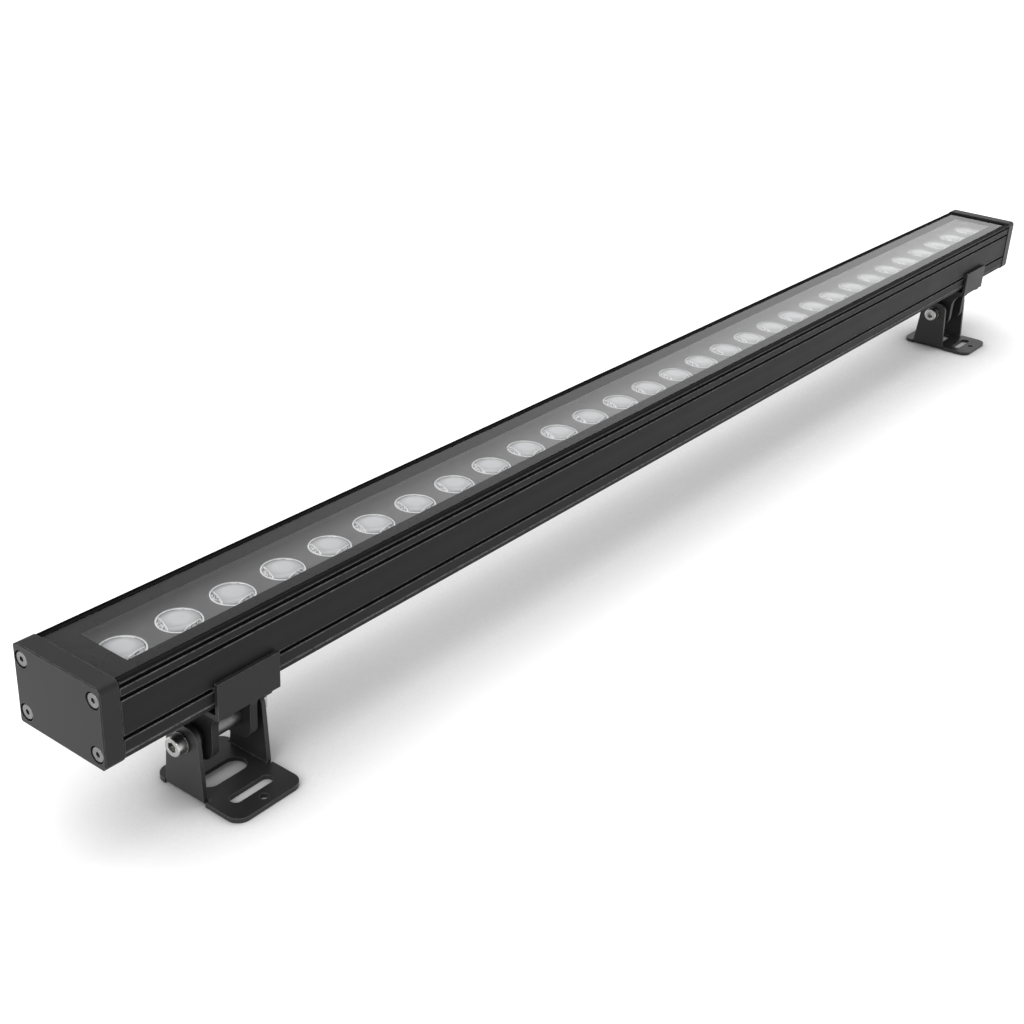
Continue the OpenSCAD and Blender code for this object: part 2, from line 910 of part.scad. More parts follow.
// Three wires from the terminal block to the driver
module supply_wires() {
    color([0.3, 0.3, 0.7])
        in_bar()
            for (y = wire_rows) {
                translate([0, y, wire_z])
                    rod_x(wire_d, driver_end - 1.5, terminal_x - terminal_len / 4, 24);
            }
}

// Two wires from the driver along the duct, up through the web and out to the board's terminals
module output_wires() {
    rise = terminal_z - wire_z;
    color([0.7, 0.2, 0.2])
        in_bar()
            for (side = [-1, 1]) {
                translate([lead_x, side * (wire_d / 2 + 0.05), wire_z])
                    union() {
                        rod_x(wire_d, 0, driver_end - driver_len + 1.5 - lead_x, 24);
                        sphere(d = wire_d, $fn = 24);
                        cylinder(d = wire_d, h = rise, $fn = 24);
                        translate([0, 0, rise])
                            sphere(d = wire_d, $fn = 24);
                        translate([0, 0, rise])
                            rotate([-90 * side, 0, 0])
                                cylinder(d = wire_d, h = terminal_y - wire_d, $fn = 24);
                    }
            }
}

// Two terminals beside the hole of the middle board
module board_terminals() {
    block_len = 4.4;
    color([0.9, 0.9, 0.9])
        in_bar()
            for (side = [-1, 1]) {
                translate([lead_x, side * terminal_y, 0])
                    difference() {
                        translate([-block_len / 2, -terminal_w / 2, board_top])
                            cube([block_len, terminal_w, 4]);
                        translate([0, -side * (terminal_w / 2 + over), terminal_z])
                            rotate([-90 * side, 0, 0])
                                cylinder(d = wire_d + 0.4, h = terminal_w * 0.8, $fn = 24);
                    }
            }
}

// Rubber grommet that guards the wires where they pass the web
module web_grommet() {
    lip = 0.9;
    color(rubber_black)
        in_bar()
            translate([lead_x, 0, duct_top])
                difference() {
                    union() {
                        cylinder(d = grommet_hole, h = web_t);
                        translate([0, 0, -lip])
                            cylinder(d = grommet_hole + 2 * grommet_rim, h = lip);
                        translate([0, 0, web_t])
                            cylinder(d = grommet_hole + 2 * grommet_rim, h = lip);
                    }
                    translate([0, 0, -lip - over])
                        cylinder(d = grommet_bore, h = web_t + 2 * lip + 2 * over);
                }
}

// Places its children on the gland's axis, with X = 0 on the right cap's outer face
module at_gland() {
    in_bar() translate([bar_len / 2, 0, gland_z]) children();
}

module gland_body() {
    collar_start = gland_ring_t + gland_base;
    collar_end = collar_start + gland_collar;
    color(black_coat)
        at_gland()
            difference() {
                union() {
                    rod_x(gland_d - 0.1, -cap_t + 3.5, gland_ring_t);
                    hex_x(gland_hex, gland_ring_t, collar_start);
                    rod_x(gland_collar_d, collar_start, collar_end);
                }
                rod_x(gland_bore, -cap_t, collar_end + over);
            }
}

module gland_ring() {
    color(rubber_black)
        at_gland()
            difference() {
                rod_x(gland_hex - 0.6, 0, gland_ring_t);
                rod_x(gland_d + 0.1, -over, gland_ring_t + over);
            }
}

module gland_insert() {
    start = gland_ring_t + gland_base;
    color(rubber_black)
        at_gland()
            difference() {
                rod_x(gland_bore - 0.1, start - 3, start + gland_collar);
                rod_x(cable_d + 0.2, start - 4, start + gland_collar + over);
            }
}

// Dome nut of the gland, hexagonal at its root and rounded towards its mouth
module gland_nut() {
    start = gland_ring_t + gland_base + 0.2;
    root = 6;
    dome_r = 5;
    dome_in = gland_hex / 2 - 0.2 - dome_r;
    color(black_coat)
        at_gland()
            translate([start, 0, 0])
                difference() {
                    union() {
                        hex_x(gland_hex, 0, root);
                        rotate([0, 90, 0])
                            rotate_extrude()
                                polygon(concat([[0, root - 1]], [[dome_in + dome_r, root - 1]],
                                    arc([dome_in, root], dome_r, 0, 90, 6), [[0, root + dome_r]]));
                    }
                    rod_x(gland_collar_d + 0.2, -over, gland_collar);
                    rod_x(cable_d + 1.2, -over, root + 2 * dome_r);
                }
}

// Side outline of a clip's legs and plate in Y and Z, the pivot at the origin
module leg_outline() {
    half = leg_w / 2;
    knee = pivot_rise - leg_shoulder - leg_sweep;
    front = bar_back - clip_reach;
    back = bar_back + clip_reach;
    top = pivot_rise + clip_t;
    intersection() {
        polygon(concat(
            arc([leg_tip_r - half, leg_tip_r - leg_tip], leg_tip_r, 180, 270),
            arc([half - leg_tip_r, leg_tip_r - leg_tip], leg_tip_r, 270, 360),
            arc([half + leg_sweep, knee], leg_sweep, 180, 90),
            [[back + leg_w, knee + leg_sweep], [back + leg_w, top], [front - leg_w, top],
                [front - leg_w, knee + leg_sweep]],
            arc([-half - leg_sweep, knee], leg_sweep, 90, 0)
        ));
        translate([front, -leg_tip - over]) square([back - front, top + leg_tip + over]);
    }
}

// End view of a clip's plate and legs in X and Z, the pivot at the origin
module clip_end_shape() {
    low = -leg_tip - 1;
    corner = leg_fillet;
    difference() {
        union() {
            translate([-clip_len / 2, pivot_rise]) square([clip_len, clip_t]);
            translate([-legs_over / 2, low]) square([legs_over, pivot_rise - low + over]);
            translate([-legs_over / 2 - corner, pivot_rise - corner])
                square([legs_over + 2 * corner, corner + over]);
        }
        translate([-legs_in / 2, low - 1]) square([legs_in, pivot_rise - low + 1 - corner]);
        translate([corner - legs_in / 2, low - 1]) square([legs_in - 2 * corner, pivot_rise - low + 1]);
        for (side = [-1, 1]) {
            translate([side * (legs_in / 2 - corner), pivot_rise - corner]) circle(r = corner);
            translate([side * (legs_over / 2 + corner), pivot_rise - corner]) circle(r = corner);
        }
    }
}

// Section of a clip's right-hand flange in Y and Z, in the housing's frame
module flange_section() {
    bottom = -pad_t - clip_t;
    translate([flange_in, bottom + flange_r]) square([flange_t, flange_h - bottom - flange_r]);
    translate([flange_in, bottom]) square([flange_t - flange_r, flange_h - bottom]);
    translate([flange_out - flange_r, bottom + flange_r]) circle(r = flange_r);
    translate([lip_in, lip_low]) square([flange_out - lip_in - flange_t / 2, lip_high - lip_low]);
}

// A clip: plate, two tapering legs, two side flanges with lips that ride in the grooves
module clip(end) {
    color(black_coat)
        difference() {
            union() {
                at_pivot(end)
                    intersection() {
                        along_y(bar_back - clip_reach, bar_back + clip_reach) clip_end_shape();
                        along_x(clip_len + 2) leg_outline();
                    }
                translate([end * clip_x, 0, 0])
                    in_bar()
                        along_x(clip_len) both_sides() flange_section();
            }
            at_pivot(end) rod_x(bolt_d + 2 * bolt_gap, -legs_over, legs_over);
            at_clamps(end) translate([0, 0, -over]) cylinder(d = clamp_d + 0.2, h = clip_t + 2 * over);
        }
}

// Places of the clamp screws, on the underside of a clip's plate
module at_clamps(end) {
    for (side = [-1, 1]) {
        translate([end * clip_x, bar_y + side * (housing_w / 2 - clamp_side), clip_bottom]) children();
    }
}

module clip_left() {
    clip(-1);
}

module clip_right() {
    clip(1);
}

// Rubber pad between a clip's plate and the housing, with holes for the clamp screws
module clip_pad(end) {
    half = housing_w / 2 - pad_side;
    color(rubber_black)
        difference() {
            translate([end * clip_x - clip_len / 2 + 2, bar_y - half, clip_top])
                cube([clip_len - 4, 2 * half, pad_t]);
            at_clamps(end) cylinder(d = clamp_d + 1, h = clip_t + pad_t + over);
        }
}

module clip_pad_left() {
    clip_pad(-1);
}

module clip_pad_right() {
    clip_pad(1);
}

// Hexagon socket grub screws that press against the housing's underside
module clamp_screws(end) {
    below = 1.5;
    color(bright_steel)
        at_clamps(end)
            difference() {
                translate([0, 0, -below]) cylinder(d = clamp_d, h = clip_t + pad_t + below);
                translate([0, 0, -below - over]) cylinder(r = hex_r(clamp_d / 2), h = 2, $fn = 6);
            }
}

module clamp_screws_left() {
    clamp_screws(-1);
}

module clamp_screws_right() {
    clamp_screws(1);
}

// Tube that keeps a clip's legs apart
module spacer_tube(end) {
    color(bright_steel)
        at_pivot(end)
            difference() {
                rod_x(tube_d, -legs_in / 2, legs_in / 2);
                rod_x(bolt_d + 2 * bolt_gap, -legs_in, legs_in);
            }
}

module spacer_tube_left() {
    spacer_tube(-1);
}

module spacer_tube_right() {
    spacer_tube(1);
}

// Side outline of a foot's ear in Y and Z, the pivot at the origin and the base at -pivot_h.
// It stands square above its bend, then narrows towards its rounded top.
module ear_outline() {
    base = ear_w / 2;
    tip = base - ear_taper;
    shoulder = ear_bend + 1 - pivot_h;
    lean = atan(ear_taper / (ear_top - shoulder));
    corner_z = ear_top - ear_r;
    corner_y = tip - ear_r;
    polygon(concat(
        [[base, -pivot_h], [base, shoulder]],
        arc([corner_y, corner_z], ear_r, lean, 90),
        arc([-corner_y, corner_z], ear_r, 90, 180 - lean),
        [[-base, shoulder], [-base, -pivot_h]]
    ));
}

// End view of a foot in X and Z: plate with two ears bent up from its edges
module foot_bend_shape() {
    inner_r = ear_bend - foot_t;
    height = pivot_h + ear_top;
    difference() {
        union() {
            translate([-foot_w / 2, ear_bend]) square([foot_w, height - ear_bend]);
            translate([-foot_w / 2 + ear_bend, 0]) square([foot_w - 2 * ear_bend, height]);
            for (side = [-1, 1]) {
                translate([side * (foot_w / 2 - ear_bend), ear_bend]) circle(r = ear_bend);
            }
        }
        translate([-ears_in / 2, foot_t + inner_r]) square([ears_in, height]);
        translate([-ears_in / 2 + inner_r, foot_t]) square([ears_in - 2 * inner_r, height]);
        for (side = [-1, 1]) {
            translate([side * (ears_in / 2 - inner_r), foot_t + inner_r]) circle(r = inner_r);
        }
    }
}

// A foot's plate from above, with its slots and hole, and with room cut for the ears' bends and notches
module foot_plate_shape() {
    difference() {
        translate([0, -foot_front]) rounded_rect(foot_w, foot_front + foot_back, foot_r);
        slot_shape(slot_len, slot_w);
        translate([0, mid_slot_back]) slot_shape(mid_slot_len, mid_slot_w);
        translate([0, -pilot_front]) circle(d = pilot_d);
        for (side = [-1, 1]) {
            translate([side * foot_w / 2 - bend_room, pivot_y - ear_w / 2 - notch_w])
                square([2 * bend_room, ear_w + 2 * notch_w]);
        }
    }
}

// The space of the two ears and their bends, reaching a little into the plate between them
module ears_only() {
    reach = bend_room + over;
    for (side = [-1, 1]) {
        translate([side * foot_w / 2 - reach, pivot_y - ear_w, -1])
            cube([2 * reach, 2 * ear_w, pivot_h + ear_top + 2]);
    }
}

// A foot bent from one sheet
module foot(end) {
    color(black_coat)
        translate([end * clip_x, 0, 0])
            difference() {
                union() {
                    linear_extrude(height = foot_t) foot_plate_shape();
                    intersection() {
                        along_y(pivot_y - ear_w / 2, pivot_y + ear_w / 2) foot_bend_shape();
                        translate([0, pivot_y, pivot_h]) along_x(foot_w + 2) ear_outline();
                        ears_only();
                    }
                }
                translate([0, pivot_y, pivot_h]) rod_x(bolt_d + 0.4, -foot_w, foot_w);
            }
}

module foot_left() {
    foot(-1);
}

module foot_right() {
    foot(1);
}

// Rings that fill the gap between the legs and the ears
module spacer_rings(end) {
    color(rubber_black)
        at_pivot(end)
            for (side = [0, 1]) {
                mirror([side, 0, 0])
                    difference() {
                        rod_x(ring_d, legs_over / 2, ears_in / 2);
                        rod_x(bolt_d + 2 * bolt_gap, 0, foot_w);
                    }
            }
}

module spacer_rings_left() {
    spacer_rings(-1);
}

module spacer_rings_right() {
    spacer_rings(1);
}

// Low head socket bolt along X
module pivot_bolt(end) {
    color(bright_steel)
        at_pivot(end)
            difference() {
                union() {
                    rod_x(bolt_head_d, bolt_seat - bolt_head_h, bolt_seat);
                    rod_x(bolt_d, bolt_seat - over, bolt_end);
                }
                hex_x(bolt_hex, bolt_seat - bolt_head_h - over, bolt_seat - bolt_head_h * 0.35);
                translate([bolt_seat - bolt_head_h, 0, 0])
                    rotate([0, 90, 0])
                        rotate_extrude()
                            polygon([[bolt_head_d / 2 - 0.5, -over], [bolt_head_d / 2 + over, -over],
                                [bolt_head_d / 2 + over, 0.6]]);
            }
}

module pivot_bolt_left() {
    pivot_bolt(-1);
}

module pivot_bolt_right() {
    pivot_bolt(1);
}

module pivot_washer(end) {
    color([0.3, 0.3, 0.3])
        at_pivot(end)
            difference() {
                rod_x(washer_d, bolt_seat, bolt_seat + washer_t);
                rod_x(bolt_d + 0.4, bolt_seat - over, bolt_seat + washer_t + over);
            }
}

module pivot_washer_left() {
    pivot_washer(-1);
}

module pivot_washer_right() {
    pivot_washer(1);
}

// Nut with a round flange against the ear
module pivot_nut(end) {
    flange = 1.6;
    color(bright_steel)
        at_pivot(end)
            difference() {
                union() {
                    rod_x(nut_flange_d, foot_w / 2, foot_w / 2 + flange);
                    hex_x(nut_hex, foot_w / 2 + flange - over, bolt_end);
                }
                rod_x(bolt_d + 0.1, foot_w / 2 - over, bolt_end + over);
            }
}

module pivot_nut_left() {
    pivot_nut(-1);
}

module pivot_nut_right() {
    pivot_nut(1);
}

housing();
end_cap_left();
end_cap_right();
cap_gasket_left();
cap_gasket_right();
cap_screws_left();
cap_screws_right();
glass_cover();
glass_border();
glass_seal();
lens_plate();
lenses_left();
lenses_middle();
lenses_right();
led_board_left();
led_board_middle();
led_board_right();
leds_left();
leds_middle();
leds_right();
board_screws();
board_jumpers();
board_terminals();
driver_case();
driver_board();
driver_parts();
terminal_block();
supply_wires();
output_wires();
web_grommet();
gland_body();
gland_ring();
gland_insert();
gland_nut();
clip_left();
clip_right();
clip_pad_left();
clip_pad_right();
clamp_screws_left();
clamp_screws_right();
spacer_tube_left();
spacer_tube_right();
foot_left();
foot_right();
spacer_rings_left();
spacer_rings_right();
pivot_bolt_left();
pivot_bolt_right();
pivot_washer_left();
pivot_washer_right();
pivot_nut_left();
pivot_nut_right();
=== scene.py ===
"""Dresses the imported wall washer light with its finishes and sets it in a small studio.

Lengths are in metres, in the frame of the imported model: X runs along the lamp towards the
cable gland, Y from the slotted front to the back, and Z up from the mounting face. Angles that
a field holds are in degrees.
"""

import logging
import math
from dataclasses import dataclass, field
from enum import Enum
from typing import Any

import bpy
import numpy as np
from mathutils import Matrix
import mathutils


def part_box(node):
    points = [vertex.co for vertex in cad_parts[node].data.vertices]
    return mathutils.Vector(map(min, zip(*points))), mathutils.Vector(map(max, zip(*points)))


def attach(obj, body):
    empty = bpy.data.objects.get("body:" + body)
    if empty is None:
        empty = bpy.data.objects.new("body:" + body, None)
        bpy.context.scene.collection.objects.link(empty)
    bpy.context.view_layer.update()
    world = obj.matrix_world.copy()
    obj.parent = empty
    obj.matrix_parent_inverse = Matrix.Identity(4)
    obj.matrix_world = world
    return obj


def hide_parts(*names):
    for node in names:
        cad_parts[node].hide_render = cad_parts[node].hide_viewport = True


log = logging.getLogger("wall_washer")

Color = tuple[float, float, float]
Vector = tuple[float, float, float]
Socket = bpy.types.NodeSocket
Number = float | Socket

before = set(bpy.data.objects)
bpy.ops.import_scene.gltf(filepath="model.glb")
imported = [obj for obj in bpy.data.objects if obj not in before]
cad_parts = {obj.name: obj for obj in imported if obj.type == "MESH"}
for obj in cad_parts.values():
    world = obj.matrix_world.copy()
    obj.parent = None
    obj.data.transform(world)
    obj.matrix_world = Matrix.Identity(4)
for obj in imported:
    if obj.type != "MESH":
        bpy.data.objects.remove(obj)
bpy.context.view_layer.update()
MM = 0.001


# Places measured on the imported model


def box_centre(node: str) -> Vector:
    """Gives the middle of a CAD node's box."""
    return tuple((low + high) / 2.0 for low, high in zip(*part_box(node)))


@dataclass(frozen=True)
class Recess:
    """The space just inside the housing's sides and underside, where its grooves lie and where the coat
    gets a painted shade.

    Its Y is within half of the middle, and its Z is above low.
    """

    middle: float
    half: float
    low: float

    @classmethod
    def measured(cls, node: str, skin: float) -> "Recess":
        """Measures the space on its CAD node.

        Args:
            node: the CAD node of the housing.
            skin: how far inside the faces the space begins.

        Returns:
            The space.
        """
        low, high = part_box(node)
        return cls(box_centre(node)[1], (high[1] - low[1]) / 2.0 - skin, low[2] + skin)


@dataclass(frozen=True)
class LensRow:
    """Where the lenses stand and how their faces are cut, for their shapes and their finish.

    Three flats cut each dome, at these angles about its axis and at a share of its radius.
    """

    radius: float
    pitch: float
    first: float
    middle: float
    rim_top: float
    count: int = 10
    rim_width: float = 0.85 * MM
    flat_share: float = 0.72
    flat_angles: tuple[float, ...] = (40.0, 160.0, 280.0)

    @classmethod
    def measured(cls, node: str, plate: str) -> "LensRow":
        """Measures the row on its CAD node.

        Args:
            node: the CAD node of one row of lenses.
            plate: the CAD node whose top the rims are flush with.

        Returns:
            The row.
        """
        low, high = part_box(node)
        radius = (high[1] - low[1]) / 2.0
        pitch = (high[0] - low[0] - 2.0 * radius) / (cls.count - 1)
        return cls(radius, pitch, low[0] + radius, low[1] + radius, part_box(plate)[1][2])


RECESS = Recess.measured("housing", 0.3 * MM)
LENSES = LensRow.measured("lenses_left", "lens_plate")
PIVOT = (0.0, *box_centre("pivot_nut_left")[1:])


# Objects


def linked(name: str, data: bpy.types.ID) -> bpy.types.Object:
    """Makes an object and puts it in the scene.

    Args:
        name: the object's name.
        data: the mesh, lamp or camera that it shows.

    Returns:
        The object, at the origin.
    """
    made = bpy.data.objects.new(name, data)
    bpy.context.scene.collection.objects.link(made)
    return made


def posed(
    right: np.ndarray | Vector, up: np.ndarray | Vector, back: np.ndarray | Vector, place: Vector
) -> Matrix:
    """Gives the pose of a lamp or a camera.

    Args:
        right: the direction to its right.
        up: the direction to its top.
        back: the direction away from what it faces.
        place: where it stands.

    Returns:
        The pose.
    """
    pose = np.eye(4)
    pose[:3] = np.stack([right, up, back, place], axis=1)
    return Matrix(pose.tolist())


# Shader trees


class Graph:
    """A node tree that is filled by naming what each socket gets."""

    def __init__(self, tree: bpy.types.NodeTree) -> None:
        """Keeps the tree and empties it."""
        self.tree = tree
        tree.nodes.clear()

    def add(
        self, kind: str, inputs: dict[str | int, Any] | None = None, **settings: Any
    ) -> bpy.types.Node:
        """Adds a node and fills its sockets.

        Args:
            kind: the node's type name.
            inputs: socket name or number to a constant or to another node's output.
            settings: the node's own options.

        Returns:
            The new node.
        """
        node = self.tree.nodes.new(kind)
        for option, value in settings.items():
            setattr(node, option, value)
        for socket, value in (inputs or {}).items():
            if isinstance(value, Socket):
                self.tree.links.new(value, node.inputs[socket])
            else:
                node.inputs[socket].default_value = value
        return node

    def math(self, operation: str, first: Number, second: Number = 0.0, clamp: bool = False) -> Socket:
        """Works out one operation on one or two values.

        Args:
            operation: the Math node's operation.
            first: a number or a socket.
            second: a number or a socket, where the operation has two.
            clamp: whether the result stays between 0 and 1.

        Returns:
            The result's socket.
        """
        node = self.add("ShaderNodeMath", {0: first, 1: second}, operation=operation, use_clamp=clamp)
        return node.outputs[0]

    def ramp(
        self, value: Socket, low: float, high: float, to_low: float = 0.0, to_high: float = 1.0
    ) -> Socket:
        """Maps a value from one range to another, and holds it at the ends.

        Args:
            value: the socket to map.
            low: where the first range starts.
            high: where the first range ends.
            to_low: the result at low.
            to_high: the result at high.

        Returns:
            The result's socket.
        """
        inputs = {"Value": value, "From Min": low, "From Max": high, "To Min": to_low, "To Max": to_high}
        return self.add("ShaderNodeMapRange", inputs).outputs["Result"]

    def tint(self, factor: Socket, first: Color | Socket, second: Color | Socket) -> Socket:
        """Mixes two colours.

        Args:
            factor: how much of the second colour shows, from 0 to 1.
            first: a colour or a socket.
            second: a colour or a socket.

        Returns:
            The mixed colour's socket.
        """
        colors = [c if isinstance(c, Socket) else (*c, 1.0) for c in (first, second)]
        node = self.add("ShaderNodeMix", {0: factor, 6: colors[0], 7: colors[1]}, data_type="RGBA")
        return node.outputs[2]

    def noise(self, vector: Socket, scale: Number, detail: float = 2.0, roughness: float = 0.5) -> Socket:
        """Adds a noise pattern.

        Args:
            vector: the coordinates that it reads.
            scale: its size, as waves per metre.
            detail: how many finer layers it has.
            roughness: how strong the finer layers are.

        Returns:
            The pattern's value, from 0 to 1.
        """
        inputs = {"Vector": vector, "Scale": scale, "Detail": detail, "Roughness": roughness}
        return self.add("ShaderNodeTexNoise", inputs).outputs["Fac"]

    def here(self) -> Socket:
        """Gives the place of the point that is shaded, in the lamp's own frame."""
        return self.add("ShaderNodeTexCoord").outputs["Object"]

    def stretched(self, share: float) -> Socket:
        """Gives the place with its X scaled down, so that a pattern on it is drawn out along X."""
        inputs = {"Vector": self.here(), "Scale": (share, 1.0, 1.0)}
        return self.add("ShaderNodeMapping", inputs).outputs[0]

    def split(self, vector: Socket) -> bpy.types.NodeOutputs:
        """Gives a vector's X, Y and Z, by name."""
        return self.add("ShaderNodeSeparateXYZ", {0: vector}).outputs

    def length(self, parts: dict[str, Socket]) -> Socket:
        """Gives the length of the vector that has these parts, by name."""
        vector = self.add("ShaderNodeCombineXYZ", parts).outputs[0]
        return self.add("ShaderNodeVectorMath", {0: vector}, operation="LENGTH").outputs["Value"]

    def relief(self, height: Socket, depth: float, normal: Socket | None = None) -> Socket:
        """Tilts the normal as a fine relief does.

        Args:
            height: the relief's height, from 0 to 1.
            depth: how deep it is.
            normal: the normal that it starts from, or none for the surface's own.

        Returns:
            The tilted normal's socket.
        """
        inputs = {"Strength": 1.0, "Distance": depth, "Height": height}
        if normal is not None:
            inputs["Normal"] = normal
        return self.add("ShaderNodeBump", inputs).outputs["Normal"]

    def principled(self, inputs: dict[str, Any]) -> Socket:
        """Adds the main shader, fills its sockets and gives its output."""
        return self.add("ShaderNodeBsdfPrincipled", inputs).outputs[0]

    def looking(self) -> Socket:
        """Marks the rays that look at a surface, which are straight, mirrored or through glass.

        Returns:
            The socket of a value that is 1 for them and 0 for the rays that only carry light.
        """
        path = self.add("ShaderNodeLightPath").outputs
        direct = self.math("ADD", path["Is Camera Ray"], path["Is Glossy Ray"])
        return self.math("ADD", direct, path["Is Transmission Ray"], clamp=True)

    def group(self, effect: "Effect", inputs: dict[str, Any]) -> bpy.types.Node:
        """Places a shared effect with its own values.

        Args:
            effect: which effect to place.
            inputs: the effect's socket names and what they get.

        Returns:
            The group node.
        """
        node = self.tree.nodes.new("ShaderNodeGroup")
        node.node_tree = EffectLibrary.tree(effect)
        for socket, value in inputs.items():
            node.inputs[socket].default_value = value
        return node

    def give(self, outputs: dict[str, Socket]) -> bpy.types.NodeTree:
        """Adds the node that gives out a group's results, by name, and gives the group."""
        self.add("NodeGroupOutput", outputs)
        return self.tree


class Effect(Enum):
    """The surface effects that several finishes share."""

    GRAIN = "fine grain"
    EDGE = "rounded edge"
    DUST = "settled dust"
    DRAWN = "drawn lines"
    TURNED = "turning marks"
    SMUDGE = "wiped smudges"


class EffectLibrary:
    """Builds each shared effect once, as a shader node group with named sockets."""

    FLOAT = "NodeSocketFloat"
    VECTOR = "NodeSocketVector"

    @classmethod
    def tree(cls, effect: Effect) -> bpy.types.NodeTree:
        """Gives an effect's group, and builds it the first time.

        Args:
            effect: the effect to look up.

        Returns:
            The node group.
        """
        made = bpy.data.node_groups.get(effect.value)
        if made is not None:
            return made
        makers = {
            Effect.GRAIN: cls._grain,
            Effect.EDGE: cls._edge,
            Effect.DUST: cls._dust,
            Effect.DRAWN: cls._drawn,
            Effect.TURNED: cls._turned,
            Effect.SMUDGE: cls._smudge,
        }
        return makers[effect](effect.value)

    @classmethod
    def _start(
        cls, name: str, inputs: dict[str, float | Vector], outputs: dict[str, str]
    ) -> tuple[Graph, bpy.types.NodeOutputs]:
        """Makes an empty group.

        Args:
            name: the group's name.
            inputs: socket name to its default, a number or a vector.
            outputs: socket name to its type.

        Returns:
            The graph to fill and what the group is given, by name.
        """
        tree = bpy.data.node_groups.new(name, "ShaderNodeTree")
        for socket, default in inputs.items():
            kind = cls.FLOAT if isinstance(default, float) else cls.VECTOR
            made = tree.interface.new_socket(name=socket, in_out="INPUT", socket_type=kind)
            made.default_value = default
        for socket, kind in outputs.items():
            tree.interface.new_socket(name=socket, in_out="OUTPUT", socket_type=kind)
        graph = Graph(tree)
        return graph, graph.add("NodeGroupInput").outputs

    @classmethod
    def _grain(cls, name: str) -> bpy.types.NodeTree:
        """Two sizes of noise: a fine one for height and a broad one for mottling.

        Args:
            name: the group's name.

        Returns:
            The group.
        """
        graph, given = cls._start(
            name,
            {"Scale": 1500.0, "Mottle Scale": 40.0},
            {"Height": cls.FLOAT, "Mottle": cls.FLOAT},
        )
        where = graph.here()
        fine = graph.noise(where, given["Scale"], detail=3.0, roughness=0.55)
        broad = graph.noise(where, given["Mottle Scale"], detail=4.0, roughness=0.6)
        return graph.give({"Height": fine, "Mottle": graph.ramp(broad, 0.3, 0.7)})

    @classmethod
    def _edge(cls, name: str) -> bpy.types.NodeTree:
        """A rounded normal along sharp edges, and a mask of where it differs from the flat one.

        Args:
            name: the group's name.

        Returns:
            The group.
        """
        graph, given = cls._start(
            name,
            {"Width": 0.4 * MM, "Break Scale": 300.0},
            {"Mask": cls.FLOAT, "Normal": cls.VECTOR},
        )
        rounded = graph.add("ShaderNodeBevel", {"Radius": given["Width"]}, samples=4).outputs[0]
        flat = graph.add("ShaderNodeNewGeometry").outputs["True Normal"]
        agree = graph.add("ShaderNodeVectorMath", {0: rounded, 1: flat}, operation="DOT_PRODUCT")
        bend = graph.ramp(agree.outputs["Value"], 0.995, 0.9)
        patchy = graph.noise(graph.here(), given["Break Scale"], detail=3.0)
        broken = graph.ramp(patchy, 0.3, 0.6, to_low=0.35)
        return graph.give({"Mask": graph.math("MULTIPLY", bend, broken, clamp=True), "Normal": rounded})

    @classmethod
    def _dust(cls, name: str) -> bpy.types.NodeTree:
        """Specks and a thin film that lie on faces turned upwards.

        Args:
            name: the group's name.

        Returns:
            The group.
        """
        graph, given = cls._start(name, {"Scale": 600.0}, {"Mask": cls.FLOAT})
        normal = graph.add("ShaderNodeNewGeometry").outputs["Normal"]
        lying = graph.ramp(graph.split(normal)["Z"], 0.2, 0.9)
        where = graph.here()
        specks = graph.ramp(graph.noise(where, given["Scale"]), 0.66, 0.72)
        cloud = graph.noise(where, 18.0, detail=4.0, roughness=0.6)
        film = graph.ramp(cloud, 0.35, 0.75, to_high=0.35)
        both = graph.math("ADD", specks, film, clamp=True)
        return graph.give({"Mask": graph.math("MULTIPLY", both, lying)})

    @classmethod
    def _drawn(cls, name: str) -> bpy.types.NodeTree:
        """Long thin lines along X, as a die leaves on a drawn or rolled metal.

        Args:
            name: the group's name.

        Returns:
            The group.
        """
        graph, given = cls._start(name, {"Fineness": 900.0}, {"Height": cls.FLOAT, "Streak": cls.FLOAT})
        along = graph.stretched(0.004)
        fine = graph.noise(along, given["Fineness"], detail=3.0, roughness=0.6)
        broad = graph.noise(along, 160.0)
        return graph.give({"Height": fine, "Streak": graph.ramp(broad, 0.35, 0.65)})

    @classmethod
    def _turned(cls, name: str) -> bpy.types.NodeTree:
        """Rings about an axis along X: noise that reads only X and the distance from the axis.

        Args:
            name: the group's name.

        Returns:
            The group.
        """
        graph, given = cls._start(
            name,
            {"Centre": (0.0, 0.0, 0.0), "Fineness": 4000.0},
            {"Height": cls.FLOAT},
        )
        ends = {0: graph.here(), 1: given["Centre"]}
        parts = graph.split(graph.add("ShaderNodeVectorMath", ends, operation="SUBTRACT").outputs[0])
        far = graph.length({"Y": parts["Y"], "Z": parts["Z"]})
        ring = graph.add("ShaderNodeCombineXYZ", {"X": parts["X"], "Y": far}).outputs[0]
        return graph.give({"Height": graph.noise(ring, given["Fineness"], roughness=0.6)})

    @classmethod
    def _smudge(cls, name: str) -> bpy.types.NodeTree:
        """Soft patches drawn out along X, where a cloth has wiped the surface.

        Args:
            name: the group's name.

        Returns:
            The group.
        """
        graph, given = cls._start(name, {"Scale": 25.0}, {"Mask": cls.FLOAT})
        patch = graph.noise(graph.stretched(0.35), given["Scale"], detail=4.0, roughness=0.55)
        return graph.give({"Mask": graph.ramp(patch, 0.45, 0.7)})


# Finishes

DUST_COLOR = (0.45, 0.43, 0.4)


